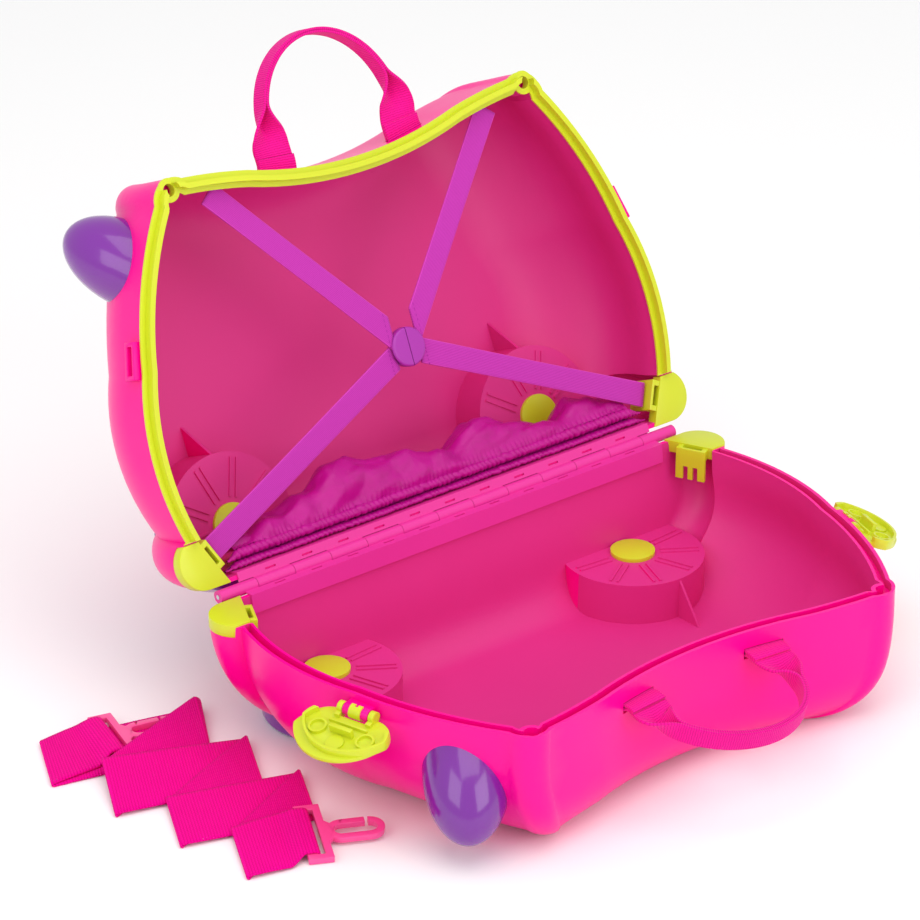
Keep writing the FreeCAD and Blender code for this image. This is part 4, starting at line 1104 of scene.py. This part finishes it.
@dataclass
class Pocket:
    """The cloth pocket along the hinge: two shirred lips and a bag that puffs up behind them."""

    palette: Palette
    half_length: float = 0.176
    lip_halves: Pair = (0.188, 0.185)
    lip_taper: float = 0.012
    lip_end: float = 0.75
    lip_starts: Pair = (0.0134, 0.0190)
    lip_rises: Pair = (0.0053, 0.0078)
    lip_depths: Pair = (0.0100, 0.0085)
    lip_depth: float = 0.0028
    lip_round: int = 29
    lip_flat: float = 0.85
    lip_grain: float = 6.0
    leaf_slope: float = 0.132
    pucker: float = 0.0042
    pucker_round: float = 0.7
    pucker_slant: float = 0.22
    jitter: float = 0.7
    jitter_span: float = 2.6
    swell: Pair = (0.72, 0.28)
    plump: Pair = (0.74, 0.26)
    dent: float = 0.0021
    dent_span: float = 0.006
    dent_range: Pair = (0.8, 0.4)
    wander: float = 0.0002
    wander_span: float = 0.02
    gather: float = 1.25
    bag_foot: float = 0.0225
    bag_near: float = 0.0068
    bag_tuck: Pair = (0.0062, 0.0052)
    bag_far: float = 0.0415
    bag_fall: float = 0.006
    bag_round: float = 0.8
    bag_turn_deg: float = 200.0
    tuck_deg: float = 15.0
    cloth: float = 0.0006
    crest: tuple[Pair, ...] = (
        (-0.176, 0.031), (-0.150, 0.033), (-0.124, 0.037), (-0.111, 0.044), (-0.099, 0.041),
        (-0.085, 0.058), (-0.054, 0.055), (-0.038, 0.053), (0.003, 0.043), (0.024, 0.036),
        (0.033, 0.045), (0.045, 0.052), (0.066, 0.051), (0.088, 0.041), (0.108, 0.037),
        (0.121, 0.034), (0.134, 0.047), (0.152, 0.043), (0.176, 0.031))
    crest_soft: float = 0.0035
    crest_window: tuple[float, int] = (2.0, 9)
    pleat_jitter: float = 0.55
    pleat_height: float = 0.0012
    pleat_middle: float = 0.6
    pleat_fade: Pair = (0.003, 0.009)
    crease_start: Pair = (0.002, 0.007)
    crease_ends: float = 0.4
    crease_turn: float = 0.35
    crease_rounds: int = 1
    drift: float = 0.008
    drift_span: float = 0.05
    drift_rise: float = 30.0
    large: Creases = Creases(0.0056, 0.5, 0.023, -0.15, 0.016, Draw.LARGE_CREASES)
    small: Creases = Creases(0.0020, -0.8, 0.0105, 0.25, 0.009, Draw.SMALL_CREASES)
    count: int = 700
    bag_rows: int = 56

    def lip(self, name: str, place: int) -> bpy.types.Object:
        """A shirred lip: a flat tube along x, its section an oval that puckers swell and shift.

        It lies along the hinge's leaf, so it sinks towards the rim by the leaf's slope.

        Args:
            name: The piece's name.
            place: 0 for the lip by the hinge and 1 for the bag's own.

        Returns:
            The lip.
        """
        start, rise, deep = self.lip_starts[place], self.lip_rises[place], self.lip_depths[place]
        half = self.lip_halves[place]
        x = np.linspace(-half, half, self.count)[:, None]
        turn = np.radians(np.linspace(0.0, 360.0, self.lip_round))[None, :]
        jitter = value_noise(x / (self.jitter_span * self.pucker), Draw.JITTER + place)
        wave = x / self.pucker + self.jitter * jitter + self.pucker_slant * np.cos(turn)
        fold = np.abs(np.sin(math.pi * wave)) ** self.pucker_round
        uneven = value_noise(x / self.pucker, Draw.SWELL + place)
        swell = fold * (self.swell[0] + self.swell[1] * uneven)
        size = self.plump[0] + self.plump[1] * swell
        end = smooth_step((np.abs(x) - half + self.lip_taper) / self.lip_taper)
        taper = 1.0 - self.lip_end * end
        uneven = value_noise(x / self.dent_span, Draw.DENT + place)
        dent = self.dent * (1.0 - swell) * (turn > math.pi)
        dent = dent * (self.dent_range[0] + self.dent_range[1] * uneven)
        d = self.lip_depth + deep * (0.5 + 0.5 * np.sin(turn) * taper) + dent * taper
        wander = self.wander * value_noise(x / self.wander_span, Draw.WANDER + place)
        h = start + rise * taper * (0.5 + 0.5 * np.cos(turn) * size) + wander
        h = h + self.leaf_slope * (d - self.lip_depth - deep)
        girth = turn * (rise + deep) / self.lip_grain
        uv = np.stack(np.broadcast_arrays(x * self.gather, girth), axis=-1)
        made = grid_object(name, LID.world(x, h, d), uv, wrap=True)
        self.palette.dress(made, SHIRRED)
        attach(made, "lid")
        return made

    def bag(self) -> bpy.types.Object:
        """The bag: from its lip it puffs out over a wavy crest and falls back along the wall.

        The section is part of an ellipse from lip to wall, and tucks in behind the lip. Short
        pleats start at the lip and follow its puckers, and flat facets with creases between
        them push the cloth along the section's normal.

        Returns:
            The bag, open at the lips.
        """
        x = np.linspace(-self.half_length, self.half_length, self.count)[:, None]
        share = np.linspace(0.0, 1.0, self.bag_rows)[None, :]
        table = np.array(self.crest)
        window = np.linspace(-self.crest_window[0], *self.crest_window)
        weight = np.exp(-window ** 2)
        crest = sum(w * np.interp(x + v * self.crest_soft, *table.T)
                    for v, w in zip(window, weight)) / weight.sum()
        turn = np.radians(self.bag_turn_deg) * share - np.radians(self.tuck_deg)
        arch = np.clip(turn, 0.0, math.pi)
        middle, reach = (self.bag_near + self.bag_far) / 2, (self.bag_far - self.bag_near) / 2
        h = self.bag_foot + (crest - self.bag_foot) * np.abs(np.sin(arch)) ** self.bag_round
        tuck = np.clip(-turn / np.radians(self.tuck_deg), 0.0, 1.0)
        h = np.where(turn < 0.0, self.bag_foot - self.bag_tuck[0] * tuck, h)
        h = np.where(turn > math.pi, self.bag_foot - self.bag_fall * (turn - math.pi), h)
        d = np.where(turn < 0.0, self.bag_near + self.bag_tuck[1] * tuck,
                     middle - reach * np.cos(turn))
        step = np.hypot(np.diff(h, axis=1), np.diff(np.broadcast_to(d, h.shape), axis=1))
        up = np.concatenate((np.zeros((len(x), 1)), np.cumsum(step, axis=1)), axis=1)
        up = up - self.bag_tuck[0]
        deep = smooth_step((up - self.crease_start[0]) / self.crease_start[1])
        deep = deep * np.sin(share * math.pi) ** self.crease_ends
        jitter = value_noise(x / (self.jitter_span * self.pucker), Draw.JITTER + 1)
        pleat = np.abs(np.sin(math.pi * (x / self.pucker + self.pleat_jitter * jitter)))
        pleat = pleat ** self.pucker_round - self.pleat_middle
        pleat = pleat * (1.0 - smooth_step((up - self.pleat_fade[0]) / self.pleat_fade[1]))
        drift = x + self.drift * value_noise(x / self.drift_span + self.drift_rise * up, Draw.DRIFT)
        creases = soften(self.large.over(drift, up) + self.small.over(drift, up),
                         self.crease_rounds)
        push = deep * creases + self.pleat_height * pleat
        h = h + push * np.sin(np.clip(turn, self.crease_turn, math.pi))
        d = d - push * np.cos(arch)
        points = LID.world(x, h, d)
        rise = np.linalg.norm(np.diff(points, axis=1), axis=2).sum(1).mean()
        length = np.linalg.norm(np.diff(points, axis=0), axis=2).sum(0).mean()
        run = x * length / (2 * self.half_length)
        uv = np.stack(np.broadcast_arrays(run, share * rise), axis=-1)
        made = grid_object("pocket_cloth", points, uv)
        thicken(made, "cloth", self.cloth)
        self.palette.dress(made, SATIN)
        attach(made, "lid")
        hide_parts("pocket_bag")
        return made

    def build(self) -> None:
        """Makes the lips and the bag."""
        lips = [self.lip(f"pocket_lip_{i + 1}", i) for i in range(len(self.lip_starts))]
        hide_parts("pocket_lips")
        self.bag()
        LOG.info("made the pocket")


@dataclass
class TowStrap:
    """The tow strap, folded to and fro on the floor with a hook at each end."""

    palette: Palette
    width: float = 0.058
    thickness: float = 0.0018
    thickness_share: float = 0.94
    layer: float = 0.0023
    near: float = 0.221
    span: float = 0.108
    skew: float = 0.010
    first: float = -0.026
    step: float = 0.059
    rise: float = 0.026
    fold_deg: float = 63.4
    first_deg: float = 75.0
    first_tail: float = 0.044
    last_tail: float = 0.042
    hinge_y: float = 0.140
    run_count: int = 40
    fold_count: int = 9
    fold_bulge: float = 0.0009
    arch: Triple = (0.0004, 0.0003, 2.1)
    ramp: float = 0.013
    bar_top: float = 0.0047
    loop_half: float = 0.0239
    loop: tuple[Pair, ...] = (
        (0.0005, 0.0047), (0.0020, 0.0049), (0.0050, 0.0049), (0.0068, 0.0044), (0.0080, 0.0032),
        (0.0083, 0.0018), (0.0083, 0.0002))
    loop_count: int = 16
    across_count: int = 21
    levels: tuple[tuple[int, int, int, int], ...] = (
        (1, 1, 1, 1), (0, 0, 0, 0), (1, 4, 0, 4), (1, 5, 0, 1), (1, 2, 0, 1), (1, 2, 0, 1),
        (1, 2, 0, 1), (1, 2, 0, 3))

    def stops(self) -> np.ndarray:
        """Where the stretches start and end: a hook, the folds, a hook.

        Returns:
            Rows of (x, h, angle in degrees).
        """
        i = np.arange(len(self.levels) - 1)
        row = i // 2
        left = i % 2 == 0
        x = np.where(left, -self.near - self.span + row * self.skew, -self.near)
        h = np.where(left, self.first, self.first + self.rise) + row * self.step
        folds = np.stack((x, h, np.full(len(i), self.fold_deg)), axis=1)
        along = np.array((self.span, self.rise)) / math.hypot(self.span, self.rise)
        start = (folds[0, 0] + self.first_tail, folds[0, 1], self.first_deg)
        end = (*(folds[-1, :2] + along * self.last_tail), self.fold_deg)
        return np.vstack((start, folds, end))

    def edge(self, stop: np.ndarray, low: float, high: float) -> np.ndarray:
        """Points across the webbing at a stop, from the edge nearer to the saddle to the other.

        Args:
            stop: The stop's x, h and angle.
            low: Level of the first edge, in layers.
            high: Level of the second edge.

        Returns:
            Points across the webbing, on its lower face.
        """
        turn = math.radians(stop[2])
        across = np.array((-math.cos(turn), -math.sin(turn))) * self.width / 2
        share = np.linspace(1.0, -1.0, self.across_count)
        x = stop[0] + across[0] * share
        y = self.hinge_y - stop[1] + across[1] * share
        return np.stack((x, y, self.layer * (low + (high - low) * (1.0 - share) / 2)), axis=1)

    def end_loop(self, edge: np.ndarray, angle_deg: float) -> np.ndarray:
        """The webbing over a hook's bar and down through its slot, narrowed to the slot.

        Args:
            edge: Points across the webbing at the hook, from the edge nearer to the saddle.
            angle_deg: The stop's angle.

        Returns:
            Rows of points, from the hook's bar to the slot's floor.
        """
        turn = math.radians(angle_deg)
        forward = np.array((math.sin(turn), -math.cos(turn), 0.0))
        across = (edge[-1] - edge[0]) / np.linalg.norm(edge[-1] - edge[0])
        up = np.cross(forward, across)
        profile = spline_through(np.array(self.loop), self.loop_count)
        place = np.linspace(-self.loop_half, self.loop_half, self.across_count)
        middle = (edge[0] + edge[-1]) / 2
        return (middle + profile[:, None, :1] * forward + profile[:, None, 1:] * up
                + place[None, :, None] * across)

    def ramp_up(self, stretch: np.ndarray, away: np.ndarray) -> np.ndarray:
        """Lifts and narrows a stretch near its hook, by an eased share of how close each row is.

        Args:
            stretch: The stretch's rows of points.
            away: Distance of each row from the hook.

        Returns:
            The rows, moved.
        """
        share = smooth_step(1.0 - away / self.ramp)[:, None, None]
        middle = stretch.mean(axis=1, keepdims=True)
        narrow = 1.0 + (2 * self.loop_half / self.width - 1.0) * share
        return middle + (stretch - middle) * narrow + share * np.array((0.0, 0.0, self.bar_top))

    def bend(self, before: np.ndarray, start: np.ndarray, side: float) -> np.ndarray:
        """A fold: half rounds from one stretch's end to the next one's start.

        Args:
            before: Points across the webbing where the last stretch ends.
            start: Points across it where the next one starts.
            side: 1 for a fold at the right and -1 for one at the left.

        Returns:
            Rows of points between the two.
        """
        turn = np.linspace(0.0, math.pi, self.fold_count)[1:-1, None]
        angle = math.radians(self.fold_deg)
        out = np.array((math.sin(angle), -math.cos(angle))) * side
        rise = (start[:, 2] - before[:, 2])[None, :]
        bulge = np.maximum(np.abs(rise)[..., None] / 2, self.fold_bulge)
        rows = np.repeat(before[None], len(turn), axis=0)
        rows[:, :, :2] += np.sin(turn)[..., None] * bulge * out
        rows[:, :, 2] += rise * (1.0 - np.cos(turn)) / 2
        return rows

    def rows(self) -> np.ndarray:
        """The webbing's lower face, row by row along its length.

        Straight stretches arch up a little, with a half round at each fold and a loop over the
        hook's bar at each end.

        Returns:
            An array of rows of points across the webbing.
        """
        stops = self.stops()
        rows = []
        before = None
        share = np.linspace(0.0, 1.0, self.run_count)[:, None, None]
        low, vary, rate = self.arch
        for i, levels in enumerate(self.levels):
            start, end = self.edge(stops[i], *levels[:2]), self.edge(stops[i + 1], *levels[2:])
            if before is not None:
                rows.append(self.bend(before, start, -1.0 if i % 2 else 1.0))
            stretch = start[None] + (end - start)[None] * share
            stretch[:, :, 2] += np.sin(share[..., 0] * math.pi) * (low + vary * math.sin(rate * i))
            away = share[:, 0, 0] * np.linalg.norm((end - start).mean(axis=0))
            if i == 0:
                loop = self.end_loop(start, stops[0, 2])[::-1]
                stretch = np.concatenate((loop, self.ramp_up(stretch, away)))
            elif i == len(self.levels) - 1:
                loop = self.end_loop(end, stops[-1, 2])
                stretch = np.concatenate((self.ramp_up(stretch, away[::-1]), loop))
            rows.append(stretch)
            before = end
        return np.concatenate(rows)

    def build(self) -> None:
        """Makes the webbing, with its thickness on the upper side of the path."""
        rows = self.rows()
        rows[..., 2] += self.thickness / 2
        middle = rows[:, self.across_count // 2]
        along = run_length(middle)
        wide = np.linspace(-self.width / 2, self.width / 2, self.across_count)
        uv = np.stack(np.broadcast_arrays(wide[None, :], along[:, None]), axis=-1)
        made = grid_object("tow_webbing", rows, uv)
        thicken(made, "thickness", self.thickness * self.thickness_share)
        self.palette.dress(made, TOW_WEBBING)
        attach(made, "base")
        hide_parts("tow_strap")


@dataclass(frozen=True)
class Lamp:
    """A square soft light."""

    name: str
    place: Triple
    size: float
    watts: float


@dataclass
class Studio:
    """White floor, soft lights and the photographed view."""

    camera_place: Triple = (-1.8585, -2.1572, 1.5979)
    azimuth_deg: float = 39.07
    elevation_deg: float = 26.31
    focal_px: float = 4744.0
    image_px: float = 920.0
    sensor: float = 36.0
    far: float = 50.0
    floor_half: float = 6.0
    floor_level: float = -0.0003
    floor_shade: float = 0.97
    floor_rough: float = 0.6
    floor_specular: float = 0.2
    surroundings: float = 0.78
    lamps: tuple[Lamp, ...] = (Lamp("overhead", (-0.3, -0.5, 2.4), 2.2, 22.0),
                               Lamp("left", (-2.2, -0.4, 1.3), 1.4, 10.0),
                               Lamp("front", (0.2, -2.6, 1.3), 1.8, 20.0))
    lamp_target: Triple = (0.0, 0.1, 0.15)

    def build(self) -> None:
        """Makes the camera, the floor and the lights."""
        self._camera()
        self._floor()
        self._lights()

    @staticmethod
    def _place(name: str, data: bpy.types.ID, place: Triple, look: Vector) -> bpy.types.Object:
        """Puts a camera or light at a place, looking along a direction.

        Args:
            name: The object's name.
            data: The camera or light.
            place: Where it stands.
            look: The direction that it looks in.

        Returns:
            The object, linked to the scene.
        """
        made = bpy.data.objects.new(name, data)
        made.location = place
        made.rotation_mode = "QUATERNION"
        made.rotation_quaternion = look.to_track_quat("-Z", "Y")
        bpy.context.scene.collection.objects.link(made)
        return made

    def _camera(self) -> None:
        """A long lens that looks down over the case's corner."""
        lens = bpy.data.cameras.new("view")
        lens.sensor_width = self.sensor
        lens.lens = self.focal_px / self.image_px * self.sensor
        lens.clip_end = self.far
        az, el = math.radians(self.azimuth_deg), math.radians(self.elevation_deg)
        look = Vector((math.sin(az) * math.cos(el), math.cos(az) * math.cos(el), -math.sin(el)))
        bpy.context.scene.camera = self._place("view", lens, self.camera_place, look)

    def _floor(self) -> None:
        """A wide pale floor."""
        corner = np.linspace(-self.floor_half, self.floor_half, 3)
        x, y = np.meshgrid(corner, corner, indexing="ij")
        points = np.stack((x, y, np.full_like(x, self.floor_level)), axis=-1)
        floor = grid_object("floor", points, points[..., :2])
        paint = bpy.data.materials.new("pale_floor")
        paint.use_nodes = True
        shader = paint.node_tree.nodes["Principled BSDF"]
        shader.inputs["Base Color"].default_value = (*[self.floor_shade] * 3, 1.0)
        shader.inputs["Roughness"].default_value = self.floor_rough
        shader.inputs["Specular IOR Level"].default_value = self.floor_specular
        floor.data.materials.append(paint)

    def _lights(self) -> None:
        """One large light overhead, a softer one from each side, and white surroundings."""
        world = bpy.data.worlds.new("surroundings")
        world.use_nodes = True
        background = world.node_tree.nodes["Background"]
        background.inputs["Color"].default_value = (1.0, 1.0, 1.0, 1.0)
        background.inputs["Strength"].default_value = self.surroundings
        bpy.context.scene.world = world
        for lamp in self.lamps:
            light = bpy.data.lights.new(lamp.name, "AREA")
            light.shape = "SQUARE"
            light.size = lamp.size
            light.energy = lamp.watts
            look = Vector(self.lamp_target) - Vector(lamp.place)
            self._place(lamp.name, light, lamp.place, look)
        bpy.context.scene.view_settings.view_transform = "Standard"


def main() -> None:
    """Loads the solids, dresses them, adds the soft pieces and sets the view."""
    logging.basicConfig(level=logging.INFO, format="%(name)s: %(message)s")
    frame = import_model()
    palette = Palette()
    parts = MouldedParts(frame, palette)
    parts.build()
    Shells(frame, parts, palette).build()
    HingeStrip(palette).build()
    WebbingHandle("lid_webbing_handle", LID, reach=0.087, leg=0.025, droop_deg=0.0, sway=-0.004,
                  fold_start=0.010, fold_length=0.038).build(palette)
    WebbingHandle("base_webbing_handle", BASE, reach=0.067, leg=0.020, droop_deg=17.0, sway=0.010,
                  fold_start=0.008, fold_length=0.030).build(palette)
    ElasticStraps(palette).build()
    Pocket(palette).build()
    TowStrap(palette).build()
    Studio().build()


if __name__ == "__main__":
    main()
